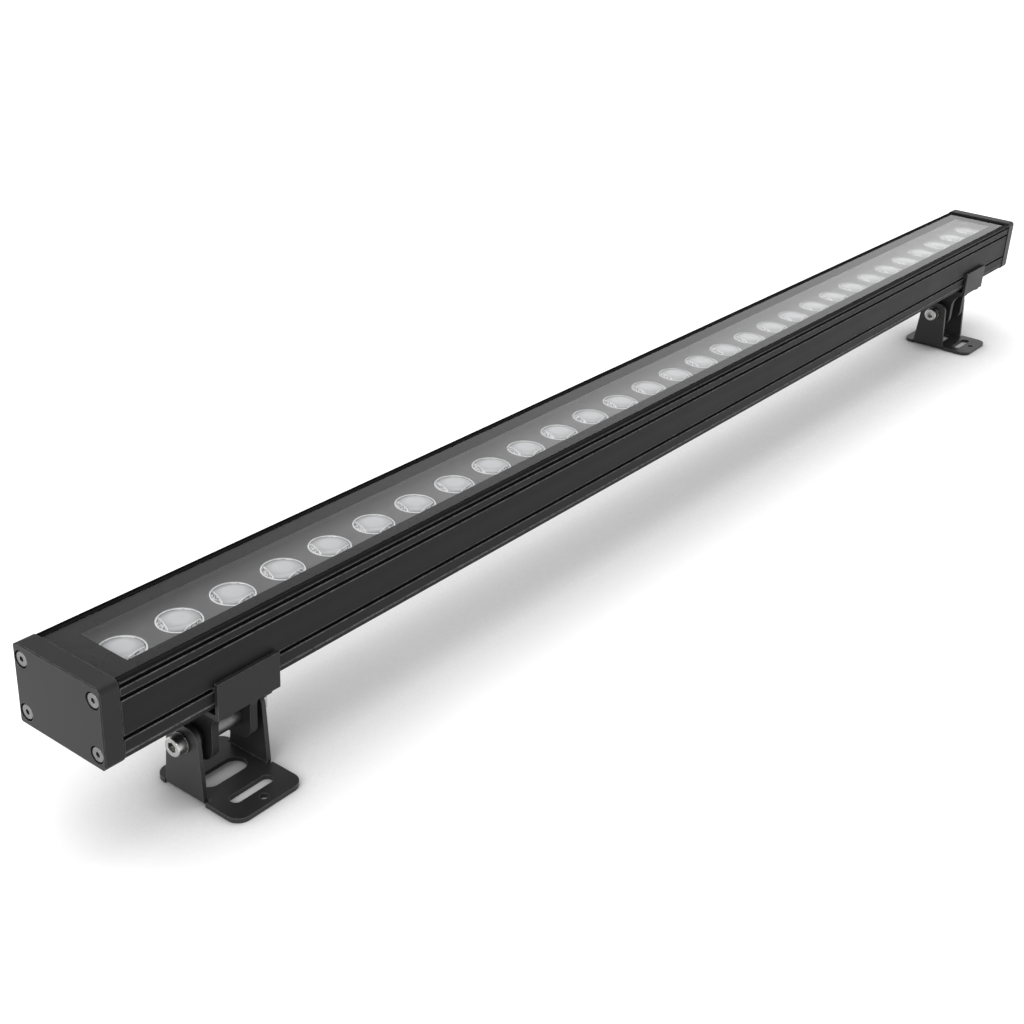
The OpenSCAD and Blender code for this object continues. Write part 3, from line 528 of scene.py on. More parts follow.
@dataclass(frozen=True)
class Finish:
    """A finish: its name, its plain colour and how rough it is."""

    name: str
    color: Color
    roughness: float

    def surface(self, graph: Graph) -> Socket:
        """Builds the shader. Each kind of finish has its own."""
        raise NotImplementedError

    def shade(self, factor: float, lift: float = 0.0) -> Color:
        """Gives the finish's colour made paler or darker, within white."""
        return tuple(min(1.0, c * factor + lift) for c in self.color)

    def spread(self, graph: Graph, pattern: Socket, below: float, above: float) -> Socket:
        """Varies the roughness by a pattern, from so much below its value to so much above."""
        return graph.ramp(pattern, 0.0, 1.0, self.roughness - below, self.roughness + above)

    def material(self) -> bpy.types.Material:
        """Gives the finish's material, and builds it the first time.

        Returns:
            The material.
        """
        made = bpy.data.materials.get(self.name)
        if made is not None:
            return made
        made = bpy.data.materials.new(self.name)
        made.use_nodes = True
        made.diffuse_color = (*self.color, 1.0)
        graph = Graph(made.node_tree)
        graph.add("ShaderNodeOutputMaterial", {"Surface": self.surface(graph)})
        return made


@dataclass(frozen=True)
class Coat(Finish):
    """A dark coating on metal: fine grain, slight mottling, lighter edges that are partly wear and partly
    painted highlight, a little dust, and painted shade in recesses where a recess is given.
    """

    specular: float = 0.3
    grain: float = 1600.0
    relief: float = 0.02 * MM
    edge_width: float = 0.4 * MM
    # The lighter edge colour is partly edge wear and partly a painted highlight.
    edge_color: Color = (0.28, 0.28, 0.28)
    edge_amount: float = 0.7
    dust: float = 0.02
    drawn: float = 0.0
    streak: float = 0.05
    # These two paint the grooves and rails almost black, as painted shade.
    painted_shade_inside: Recess | None = None
    painted_shade_color: Color = (0.004, 0.004, 0.004)
    unevenness: float = 0.09
    paler: float = 1.3
    lift: float = 0.003

    def surface(self, graph: Graph) -> Socket:
        """Mixes the coat's colour with mottling, lighter edges that are partly wear and partly painted
        highlight, dust and any painted shade in recesses, over a grained relief.

        Args:
            graph: the graph of the finish's material.

        Returns:
            The shader's socket.
        """
        grain = graph.group(Effect.GRAIN, {"Scale": self.grain, "Mottle Scale": 35.0})
        edge = graph.group(Effect.EDGE, {"Width": self.edge_width})
        dust = graph.group(Effect.DUST, {"Scale": 500.0})
        base = graph.tint(grain.outputs["Mottle"], self.color, self.shade(self.paler, self.lift))
        # Edges painted lighter: partly wear, partly a painted highlight along lips and corners.
        edge_wear_and_highlight = graph.math("MULTIPLY", edge.outputs["Mask"], self.edge_amount)
        base = graph.tint(edge_wear_and_highlight, base, self.edge_color)
        base = graph.tint(graph.math("MULTIPLY", dust.outputs["Mask"], self.dust), base, DUST_COLOR)
        half = self.unevenness / 2.0
        rough = self.spread(graph, grain.outputs["Mottle"], half, half)
        height = grain.outputs["Height"]
        if self.drawn > 0.0:
            lines = graph.group(Effect.DRAWN, {"Fineness": 1100.0})
            streaks = graph.math("MULTIPLY", lines.outputs["Streak"], self.streak)
            rough = graph.math("ADD", rough, streaks)
            drawn = graph.math("MULTIPLY", lines.outputs["Height"], self.drawn)
            height = graph.math("ADD", height, drawn)
        # Painted shade: grooves and rail tops are tinted almost black, standing in for the shade that
        # falls in them.
        if self.painted_shade_inside is not None:
            base = graph.tint(self._recess(graph), base, self.painted_shade_color)
        return graph.principled(
            {
                "Base Color": base,
                "Roughness": rough,
                "Specular IOR Level": self.specular,
                "Normal": graph.relief(height, self.relief, edge.outputs["Normal"]),
            }
        )

    def _recess(self, graph: Graph) -> Socket:
        """Masks where the painted shade goes: what lies further in than the sides and above the
        underside, grooves and rails.

        Args:
            graph: the graph of the finish's material.

        Returns:
            The mask's socket.
        """
        recess = self.painted_shade_inside
        parts = graph.split(graph.here())
        off = graph.math("ABSOLUTE", graph.math("SUBTRACT", parts["Y"], recess.middle))
        inside = graph.math("LESS_THAN", off, recess.half)
        return graph.math("MULTIPLY", inside, graph.math("GREATER_THAN", parts["Z"], recess.low))


@dataclass(frozen=True)
class BareMetal(Finish):
    """Bare metal with turning marks about an axis along X, and polished edges."""

    centre: Vector = (0.0, 0.0, 0.0)
    marks: float = 0.01 * MM
    fineness: float = 5000.0
    edge_color: Color = (0.9, 0.9, 0.88)
    stain: float = 0.5
    stain_shade: float = 0.72
    stain_roughness: float = 0.12

    def surface(self, graph: Graph) -> Socket:
        """Mixes the metal's colour with stains and bright edges over turning marks.

        Args:
            graph: the graph of the finish's material.

        Returns:
            The shader's socket.
        """
        turned = graph.group(Effect.TURNED, {"Centre": self.centre, "Fineness": self.fineness})
        edge = graph.group(Effect.EDGE, {"Width": 0.25 * MM, "Break Scale": 900.0})
        stain = graph.group(Effect.GRAIN, {"Scale": 900.0, "Mottle Scale": 250.0})
        stained = graph.math("MULTIPLY", stain.outputs["Mottle"], self.stain)
        base = graph.tint(stained, self.color, self.shade(self.stain_shade))
        base = graph.tint(edge.outputs["Mask"], base, self.edge_color)
        return graph.principled(
            {
                "Base Color": base,
                "Metallic": 1.0,
                "Roughness": self.spread(graph, stain.outputs["Mottle"], 0.0, self.stain_roughness),
                "Normal": graph.relief(turned.outputs["Height"], self.marks, edge.outputs["Normal"]),
            }
        )


@dataclass(frozen=True)
class Moulded(Finish):
    """Moulded plastic or rubber: a spark-eroded grain with slightly paler high spots."""

    specular: float = 0.4
    grain: float = 2500.0
    relief: float = 0.02 * MM
    dust: float = 0.05
    unevenness: float = 0.06
    paler: float = 1.25
    lift: float = 0.004

    def surface(self, graph: Graph) -> Socket:
        """Mixes the plastic's colour with mottling and dust over its grain.

        Args:
            graph: the graph of the finish's material.

        Returns:
            The shader's socket.
        """
        grain = graph.group(Effect.GRAIN, {"Scale": self.grain, "Mottle Scale": 120.0})
        edge = graph.group(Effect.EDGE, {"Width": 0.2 * MM})
        dust = graph.group(Effect.DUST, {"Scale": 700.0})
        base = graph.tint(grain.outputs["Mottle"], self.color, self.shade(self.paler, self.lift))
        base = graph.tint(graph.math("MULTIPLY", dust.outputs["Mask"], self.dust), base, DUST_COLOR)
        height = grain.outputs["Height"]
        smooth, rough = self.roughness - self.unevenness, self.roughness + self.unevenness
        return graph.principled(
            {
                "Base Color": base,
                "Roughness": graph.ramp(height, 0.2, 0.8, smooth, rough),
                "Specular IOR Level": self.specular,
                "Normal": graph.relief(height, self.relief, edge.outputs["Normal"]),
            }
        )


@dataclass(frozen=True)
class Clear(Finish):
    """Clear glass or acrylic that lets lamp light through to what lies under it."""

    ior: float = 1.6
    smudge: float = 0.004

    def surface(self, graph: Graph) -> Socket:
        """Mixes a clear shader with a see-through one for the rays that look for a lamp.

        Args:
            graph: the graph of the finish's material.

        Returns:
            The shader's socket.
        """
        wiped = graph.group(Effect.SMUDGE, {"Scale": 30.0})
        clear = graph.principled(
            {
                "Base Color": (*self.color, 1.0),
                "Roughness": self.spread(graph, wiped.outputs["Mask"], 0.0, self.smudge),
                "IOR": self.ior,
                "Transmission Weight": 1.0,
            }
        )
        path = graph.add("ShaderNodeLightPath").outputs
        passing = graph.add("ShaderNodeBsdfTransparent", {"Color": (*self.color, 1.0)}).outputs[0]
        searching = graph.math("MAXIMUM", path["Is Shadow Ray"], path["Is Diffuse Ray"])
        return graph.add("ShaderNodeMixShader", {0: searching, 1: clear, 2: passing}).outputs[0]


@dataclass(frozen=True)
class Milky(Finish):
    """Pale cast resin that lets a little light in under a polished skin."""

    depth: float = 0.05
    ior: float = 1.49
    gloss: float = 0.03
    unevenness: float = 0.05
    paler: float = 1.06

    def paint(self, graph: Graph, mottle: Socket) -> Socket:
        """Gives the body's colour, mottled with a paler one."""
        return graph.tint(mottle, self.color, self.shade(self.paler))

    def surface(self, graph: Graph) -> Socket:
        """Lets a part of the light into a painted body under a polished skin.

        Args:
            graph: the graph of the finish's material.

        Returns:
            The shader's socket.
        """
        mottle = graph.group(Effect.GRAIN, {"Scale": 700.0, "Mottle Scale": 160.0}).outputs["Mottle"]
        return graph.principled(
            {
                "Base Color": self.paint(graph, mottle),
                "Roughness": self.spread(graph, mottle, 0.0, self.unevenness),
                "IOR": self.ior,
                "Transmission Weight": self.depth,
                "Coat Weight": 1.0,
                "Coat Roughness": self.gloss,
            }
        )


@dataclass(frozen=True)
class Optic(Milky):
    """Clear collimating lens, painted pale as a painted reflection of its mirrored flank, which makes it
    look pale and bright from outside.

    The pale dome has a painted shade that darkens it outwards. Its rim and the edges of its flats get a
    painted white highlight, and the hollows between them get painted glints of the light source.
    """

    row: LensRow = LENSES
    depth: float = 0.1
    shade_from: float = 0.4
    shade_to: float = 0.86
    rim_shade: float = 0.55
    edge_width: float = 0.45 * MM
    wall_width: float = 0.03 * MM
    hollow_depth: float = 0.4 * MM
    # bright is the painted highlight colour, and with dim it colours the painted glints.
    bright: Color = (1.0, 1.0, 1.0)
    dim: Color = (0.3, 0.3, 0.305)

    def paint(self, graph: Graph, mottle: Socket) -> Socket:
        """Paints the dome with a painted shade outwards, the edges of its flats with a painted highlight,
        the hollows with painted glints and the rim with a painted highlight, in this order.

        Args:
            graph: the graph of the finish's material.
            mottle: a mottling, which a clear lens doesn't show.

        Returns:
            The colour's socket.
        """
        along, across, height = self._place(graph)
        far = graph.length({"X": along, "Y": across})
        radius = self.row.radius
        # Painted shade: the dome darkens towards its rim.
        outwards = graph.ramp(far, self.shade_from * radius, self.shade_to * radius)
        base = graph.tint(outwards, self.color, self.shade(self.rim_shade))
        cut = graph.math("SUBTRACT", self._reach(graph, along, across), self.row.flat_share * radius)
        # Painted highlight on the edges of the flats.
        base = graph.tint(graph.math("GREATER_THAN", cut, -self.edge_width), base, self.bright)
        wall = graph.math("GREATER_THAN", cut, -self.wall_width)
        under = graph.math("LESS_THAN", height, self.row.rim_top - self.hollow_depth)
        # Painted glints on the flats' walls and in the hollows.
        base = graph.tint(graph.math("MAXIMUM", wall, under), base, self._glints(graph))
        # Painted highlight on the rim.
        rim = graph.math("GREATER_THAN", far, radius - self.row.rim_width)
        return graph.tint(rim, base, self.bright)

    def _place(self, graph: Graph) -> tuple[Socket, ...]:
        """Measures where a point lies from the middle of its own lens.

        Along the row the place is what is left of X past whole pitches, so each lens has its own.

        Args:
            graph: the graph of the finish's material.

        Returns:
            The sockets of the places along and across the row, and of the height.
        """
        parts = graph.split(graph.here())
        half = self.row.pitch / 2.0
        moved = graph.math("SUBTRACT", parts["X"], self.row.first - half)
        along = graph.math("SUBTRACT", graph.math("FLOORED_MODULO", moved, self.row.pitch), half)
        return along, graph.math("SUBTRACT", parts["Y"], self.row.middle), parts["Z"]

    def _reach(self, graph: Graph, along: Socket, across: Socket) -> Socket:
        """Measures how far a point reaches towards the flat that it is nearest to.

        Towards a flat at the angle a that is along cos a + across sin a, and the greatest counts.

        Args:
            graph: the graph of the finish's material.
            along: the place along the row.
            across: the place across the row.

        Returns:
            The reach's socket.
        """
        reach = None
        for angle in np.radians(self.row.flat_angles):
            part = graph.math(
                "ADD",
                graph.math("MULTIPLY", along, float(np.cos(angle))),
                graph.math("MULTIPLY", across, float(np.sin(angle))),
            )
            reach = part if reach is None else graph.math("MAXIMUM", reach, part)
        return reach

    def _glints(self, graph: Graph) -> Socket:
        """Paints the broken glints of the light source inside the optic."""
        cloud = graph.noise(graph.here(), 800.0, detail=1.0, roughness=0.4)
        return graph.tint(graph.ramp(cloud, 0.44, 0.54), self.dim, self.bright)


@dataclass(frozen=True)
class Board(Finish):
    """Solder mask with faint copper tracks that run along X under it."""

    track_color: Color = (0.7, 0.7, 0.62)
    track_depth: float = 0.03 * MM
    track_fineness: float = 1600.0
    track_amount: float = 0.4
    paler: float = 1.05
    smoother: float = 0.05
    rougher: float = 0.08

    def surface(self, graph: Graph) -> Socket:
        """Draws straight tracks as bands across Y, and grains the mask.

        Args:
            graph: the graph of the finish's material.

        Returns:
            The shader's socket.
        """
        across = graph.math("MULTIPLY", graph.split(graph.here())["Y"], self.track_fineness)
        track = graph.ramp(graph.math("SINE", across), 0.55, 0.75)
        grain = graph.group(Effect.GRAIN, {"Scale": 2500.0, "Mottle Scale": 90.0})
        base = graph.tint(grain.outputs["Mottle"], self.color, self.shade(self.paler))
        base = graph.tint(graph.math("MULTIPLY", track, self.track_amount), base, self.track_color)
        smooth, rough = self.roughness - self.smoother, self.roughness + self.rougher
        return graph.principled(
            {
                "Base Color": base,
                "Roughness": graph.ramp(grain.outputs["Height"], 0.2, 0.8, smooth, rough),
                "Normal": graph.relief(track, self.track_depth),
            }
        )


class Finishes(Enum):
    """Every finish on the lamp."""

    # Its light lines along the groove lips are partly wear and mostly painted highlight.
    EXTRUSION = Coat(
        "black drawn coat",
        (0.018, 0.018, 0.0185),
        0.5,
        specular=0.12,
        drawn=0.6,
        edge_width=0.8 * MM,
        edge_color=(0.4, 0.4, 0.4),
        edge_amount=1.0,
        # Painted shade in the grooves and on the rails.
        painted_shade_inside=RECESS,
    )
    CAP = Coat(
        "black cast coat",
        (0.021, 0.021, 0.0215),
        0.4,
        specular=0.17,
        grain=1300.0,
        relief=0.03 * MM,
    )
    CLIP = Coat(
        "black clip coat",
        (0.02, 0.02, 0.0205),
        0.44,
        specular=0.2,
        grain=1300.0,
        relief=0.03 * MM,
    )
    FOOT = Coat("black sheet coat", (0.022, 0.022, 0.0225), 0.36, specular=0.4, grain=1500.0)
    PLATE = Coat(
        "grey plate coat",
        (0.055, 0.055, 0.057),
        0.28,
        specular=1.0,
        edge_color=(0.4, 0.4, 0.4),
        dust=0.0,
        unevenness=0.01,
    )
    DRIVER_CASE = Coat(
        "plain sheet case",
        (0.5, 0.5, 0.51),
        0.4,
        specular=0.5,
        edge_color=(0.8, 0.8, 0.8),
    )
    SCREW = BareMetal("cap screw", (0.2, 0.2, 0.198), 0.3, edge_color=(0.4, 0.4, 0.4))
    BOLT = BareMetal("bright pivot bolt", (0.5, 0.5, 0.49), 0.2, centre=PIVOT)
    TUBE = BareMetal("turned spacer tube", (0.2, 0.2, 0.198), 0.35, centre=PIVOT, marks=0.02 * MM)
    WASHER = BareMetal("dark spring washer", (0.1, 0.1, 0.1), 0.35, centre=PIVOT)
    RUBBER = Moulded("black rubber", (0.018, 0.018, 0.018), 0.7, specular=0.3)
    SEAL = Moulded(
        "black silicone bead",
        (0.004, 0.004, 0.004),
        0.75,
        specular=0.08,
        grain=500.0,
        relief=0.06 * MM,
        dust=0.0,
    )
    RING = Moulded("black spacer ring", (0.02, 0.02, 0.02), 0.5)
    GLAND = Moulded("black gland plastic", (0.022, 0.022, 0.022), 0.5)
    TERMINAL = Moulded("white terminal plastic", (0.75, 0.75, 0.72), 0.4)
    WIRE = Moulded("red wire skin", (0.35, 0.02, 0.02), 0.4, grain=900.0)
    DRIVER_PART = Moulded("dark wound parts", (0.05, 0.05, 0.07), 0.5)
    PRINT = Moulded(
        "fired black print",
        (0.012, 0.012, 0.012),
        0.3,
        specular=0.3,
        grain=400.0,
        relief=0.001 * MM,
        dust=0.0,
    )
    GLASS = Clear("toughened glass", (0.985, 0.985, 0.987), 0.0)
    # The lens's pale colour is a painted reflection of its mirrored flank.
    LENS = Optic("clear lens", (0.72, 0.73, 0.745), 0.08)
    BOARD = Board("white circuit board", (0.8, 0.8, 0.78), 0.45)
    LED = Milky("yellow light source", (0.85, 0.75, 0.3), 0.2)


# Surfaces


@dataclass
class Surface:
    """A mesh as arrays: corner points, and faces as lists of point numbers."""

    points: np.ndarray
    faces: list[np.ndarray]
    sharp_from: float = 35.0

    def copies(self, offsets: np.ndarray) -> "Surface":
        """Repeats the surface at each offset.

        Args:
            offsets: one row of X, Y and Z for each copy.

        Returns:
            All the copies as one surface.
        """
        count = len(self.points)
        points = (self.points[None, :, :] + offsets[:, None, :]).reshape(-1, 3)
        shift = np.arange(len(offsets)) * count
        faces = [(f[None, :, :] + shift[:, None, None]).reshape(-1, f.shape[1]) for f in self.faces]
        return Surface(points, faces)

    def joined(self, other: "Surface") -> "Surface":
        """Puts another surface beside this one, as loose shells of one mesh."""
        moved = [f + len(self.points) for f in other.faces]
        return Surface(np.vstack([self.points, other.points]), self.faces + moved)

    def piece(self, name: str) -> bpy.types.Object:
        """Makes the Blender object.

        Args:
            name: the piece's name.

        Returns:
            The object, at the origin.
        """
        mesh = bpy.data.meshes.new(name)
        faces = [row for block in self.faces for row in block.tolist()]
        mesh.from_pydata(self.points.tolist(), [], faces)
        mesh.validate()
        mesh.update()
        mesh.shade_smooth()
        mesh.set_sharp_from_angle(angle=math.radians(self.sharp_from))
        return linked(name, mesh)


def around(steps: int) -> np.ndarray:
    """Gives the angles of equal steps once round, from 0."""
    return np.linspace(0.0, 2.0 * math.pi, steps, endpoint=False)


def revolve(profile: np.ndarray, sides: int, scale: np.ndarray | None = None) -> Surface:
    """Turns a profile about Z.

    A point is (s r cos a, s r sin a, z), where (r, z) runs along the profile, a round the axis,
    and s is the scale at both. A profile end on the axis becomes one shared point.

    Args:
        profile: rows of r and z. Faces point outwards when it runs from the lower end of the
            axis, out and up, to the upper end.
        sides: the number of steps round the axis.
        scale: a factor on r, by row of the profile and step round the axis, or none.

    Returns:
        The closed surface.
    """
    angle = around(sides)
    inner = profile[1:-1]
    reach = inner[:, :1] * (np.ones((1, sides)) if scale is None else scale[1:-1])
    rings = np.stack(
        [reach * np.cos(angle), reach * np.sin(angle), np.repeat(inner[:, 1:], sides, axis=1)], axis=2
    ).reshape(-1, 3)
    poles = np.array([[0.0, 0.0, profile[0, 1]], [0.0, 0.0, profile[-1, 1]]])
    points = np.vstack([rings, poles])
    step = np.arange(sides)
    after = (step + 1) % sides
    rows = np.arange(len(inner) - 1)[:, None] * sides
    above = rows + sides
    quads = np.stack([rows + step, rows + after, above + after, above + step], axis=2).reshape(-1, 4)
    last = (len(inner) - 1) * sides
    low = np.stack([np.full(sides, len(rings)), after, step], axis=1)
    high = np.stack([np.full(sides, len(rings) + 1), last + step, last + after], axis=1)
    return Surface(points, [quads, low, high])


def wrap(grid: np.ndarray) -> Surface:
    """Closes a grid of points in both directions, so that it is a ring-shaped surface.

    Args:
        grid: points by row round the section and column round the axis.

    Returns:
        The closed surface.
    """
    rows, columns = grid.shape[:2]
    row = np.arange(rows)[:, None] * columns
    below = (np.arange(rows)[:, None] + 1) % rows * columns
    column = np.arange(columns)[None, :]
    beside = (column + 1) % columns
    quads = np.stack([row + column, row + beside, below + beside, below + column], axis=2)
    return Surface(grid.reshape(-1, 3), [quads.reshape(-1, 4)])


def arc(centre: tuple[float, float], radius: float, start: float, end: float, steps: int) -> np.ndarray:
    """Points on a circle: centre + radius (cos a, sin a), with a from start to end in degrees.

    Args:
        centre: the circle's centre.
        radius: the circle's radius.
        start: the first angle.
        end: the last angle.
        steps: the number of steps between them.

    Returns:
        The points, one row each.
    """
    angle = np.radians(np.linspace(start, end, steps + 1))
    return np.stack([centre[0] + radius * np.cos(angle), centre[1] + radius * np.sin(angle)], axis=1)


# The lamp's sub-assemblies


@dataclass
class SubAssembly:
    """Some CAD nodes with their finishes, and the pieces that are made for them here."""

    finishes: dict[str, Finishes] = field(default_factory=dict)

    def dress(self) -> None:
        """Gives each CAD node its finish."""
        for node, finish in self.finishes.items():
            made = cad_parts[node]
            if not made.material_slots:
                made.data.materials.append(None)
            for slot in made.material_slots:
                slot.material = finish.value.material()
            log.info("dressed %s with %s", node, finish.value.name)

    def build(self) -> None:
        """Makes the pieces that the CAD nodes lack. Most sub-assemblies need none."""

    def place(self, made: bpy.types.Object, finish: Finishes, body: str, slot: str, *nodes: str) -> None:
        """Finishes a new piece and ties it to the lamp.

        Args:
            made: the piece.
            finish: its finish.
            body: the body that it rides on.
            slot: the name of a material slot; not used.
            nodes: the CAD nodes that it stands for.
        """
        made.data.materials.append(finish.value.material())
        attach(made, body)
        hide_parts(*nodes)
        log.info("built %s with %d faces", made.name, len(made.data.polygons))


@dataclass
class Housing(SubAssembly):
    """The extruded housing with its end caps, gaskets and cap screws."""

    finishes: dict[str, Finishes] = field(
        default_factory=lambda: {
            "housing": Finishes.EXTRUSION,
            "end_cap_left": Finishes.CAP,
            "end_cap_right": Finishes.CAP,
            "cap_gasket_left": Finishes.RUBBER,
            "cap_gasket_right": Finishes.RUBBER,
            "cap_screws_left": Finishes.SCREW,
            "cap_screws_right": Finishes.SCREW,
        }
    )


@dataclass
class Window(SubAssembly):
    """The glass cover with its printed border and its seal."""

    finishes: dict[str, Finishes] = field(
        default_factory=lambda: {
            "glass_cover": Finishes.GLASS,
            "glass_border": Finishes.PRINT,
            "glass_seal": Finishes.SEAL,
        }
    )


@dataclass
class Optics(SubAssembly):
    """The lens plate, the lenses and the boards with their light sources."""

    rows: tuple[str, ...] = ("left", "middle", "right")
    form: LensRow = LENSES
    sides: int = 96
    flank_steps: int = 12
    dome_steps: int = 36
    rim_height: float = 1.2 * MM
    rim_soft: float = 0.15 * MM
    rim_draft: float = 0.2 * MM
    foot_radius: float = 4.8 * MM
    foot_gap: float = 1.2 * MM
    skirt_inset: float = 0.8 * MM
    flank_power: float = 0.72
    groove_depth: float = 1.1 * MM
    dome_inset: float = 1.35 * MM
    dome_stand: float = 0.1 * MM
    dome_rise: float = 1.3 * MM
    wall_foot: float = 0.05 * MM
    wall_top: float = 0.02 * MM
    crispness: float = 60.0
    # Millimetres from the axis and above the board, over the light source
    pocket: tuple[tuple[float, float], ...] = (
        (0.0, 6.2),
        (0.9, 6.15),
        (1.6, 6.0),
        (2.3, 5.6),
        (2.8, 5.0),
        (3.1, 3.0),
    )
    pocket_radius: float = 3.2 * MM
    leg_ring: float = 4.6 * MM
    leg_radius: float = 0.9 * MM
    leg_height: float = 2.0 * MM
    leg_sides: int = 16
    leg_angles: tuple[float, ...] = (90.0, 210.0, 330.0)
    finishes: dict[str, Finishes] = field(
        default_factory=lambda: {
            "lens_plate": Finishes.PLATE,
            "led_board_left": Finishes.BOARD,
            "led_board_middle": Finishes.BOARD,
            "led_board_right": Finishes.BOARD,
            "leds_left": Finishes.LED,
            "leds_middle": Finishes.LED,
            "leds_right": Finishes.LED,
            "board_screws": Finishes.SCREW,
            "board_jumpers": Finishes.WIRE,
            "board_terminals": Finishes.TERMINAL,
        }
    )

    def lens_profile(self, radius: float, height: float) -> tuple[np.ndarray, np.ndarray]:
        """Half section of a lens, from the top of its pocket on the axis round to the dome's top.

        The flank is r = foot + (skirt - foot) t^p with t up the flank and a power p under 1, so
        it opens fast and then steepens, as a mirrored collimator does. The dome is a quarter
        ellipse that stands on a steep wall inside the rim.

        Args:
            radius: the lens's radius at its rim.
            height: the height of its rim above the board.

        Returns:
            Rows of r and z, and for each row whether the dome's flats cut it, as 1 or 0.
        """
        up = np.linspace(0.0, 1.0, self.flank_steps + 1)
        skirt = radius - self.skirt_inset
        flank_r = self.foot_radius + (skirt - self.foot_radius) * up**self.flank_power
        flank_z = self.foot_gap + (height - self.rim_height - self.foot_gap) * up
        foot = np.array([[self.pocket_radius, self.foot_gap]])
        soft = self.rim_soft
        rim_in = radius - self.form.rim_width
        groove = height - self.groove_depth
        dome_radius = radius - self.dome_inset
        rim = np.array(
            [
                [radius, height - self.rim_height],
                [radius, height - soft],
                [radius - soft, height],
                [rim_in + soft, height],
                [rim_in, height - soft],
                [rim_in - self.rim_draft, groove],
            ]
        )
        tilt = np.radians(np.linspace(0.0, 90.0, self.dome_steps + 1))
        dome_z = height + self.dome_stand + self.dome_rise * np.sin(tilt)
        dome = np.stack([dome_radius * np.cos(tilt), dome_z], axis=1)
        wall = np.array([[dome_radius + self.wall_foot, groove], [dome_radius + self.wall_top, height]])
        flank = np.stack([flank_r, flank_z], axis=1)
        still = np.vstack([np.array(self.pocket) * MM, foot, flank, rim])
        cut = np.vstack([wall, dome])
        return np.vstack([still, cut]), np.repeat([0.0, 1.0], [len(still), len(cut)])

    def lens(self, radius: float, height: float) -> Surface:
        """Makes one lens with its three legs.

        Three upright flats cut the dome, each at a distance d from the axis. At an angle a folded
        into 60 degrees either side of a flat, its plane lies at d / cos a, and the radius is about
        the lesser of that and the dome's own r, as r (1 + (r cos a / d)^p)^(-1/p) with a high
        power p, which rounds the corner a little.

        Args:
            radius: the lens's radius at its rim.
            height: the height of its rim above the board.

        Returns:
            The lens, standing on Z = 0 at the origin.
        """
        profile, cut = self.lens_profile(radius, height)
        angle = around(self.sides) - math.radians(self.form.flat_angles[0])
        folded = (angle + math.pi / 3.0) % (2.0 * math.pi / 3.0) - math.pi / 3.0
        past = profile[:, :1] * np.cos(folded)[None, :] / (self.form.flat_share * radius)
        scale = (1.0 + cut[:, None] * past**self.crispness) ** (-1.0 / self.crispness)
        body = revolve(profile, self.sides, scale)
        leg_top = self.leg_height
        leg_form = [[0.0, 0.0], [self.leg_radius, 0.0], [self.leg_radius, leg_top], [0.0, leg_top]]
        leg = revolve(np.array(leg_form), self.leg_sides)
        turn = np.radians(self.leg_angles)
        ring = self.leg_ring * np.stack([np.cos(turn), np.sin(turn), np.zeros(len(turn))], axis=1)
        return body.joined(leg.copies(ring))

    def build(self) -> None:
        """Makes each row of lenses as smooth surfaces on three legs."""
        form = self.form
        for row in self.rows:
            node = f"lenses_{row}"
            low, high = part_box(node)
            board_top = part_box(f"led_board_{row}")[1][2]
            whole = self.lens(form.radius, form.rim_top - board_top)
            places = np.full((form.count, 3), (0.0, form.middle, board_top))
            places[:, 0] = np.linspace(low[0] + form.radius, high[0] - form.radius, form.count)
            made = whole.copies(places).piece(f"lens_row_{row}")
            self.place(made, Finishes.LENS, "lamp", "lens", node)


@dataclass
class Power(SubAssembly):
    """The driver in the duct, its terminal block, its wires and their grommet."""

    finishes: dict[str, Finishes] = field(
        default_factory=lambda: {
            "driver_case": Finishes.DRIVER_CASE,
            "driver_board": Finishes.BOARD,
            "driver_parts": Finishes.DRIVER_PART,
            "terminal_block": Finishes.TERMINAL,
            "supply_wires": Finishes.WIRE,
            "output_wires": Finishes.WIRE,
            "web_grommet": Finishes.RUBBER,
        }
    )


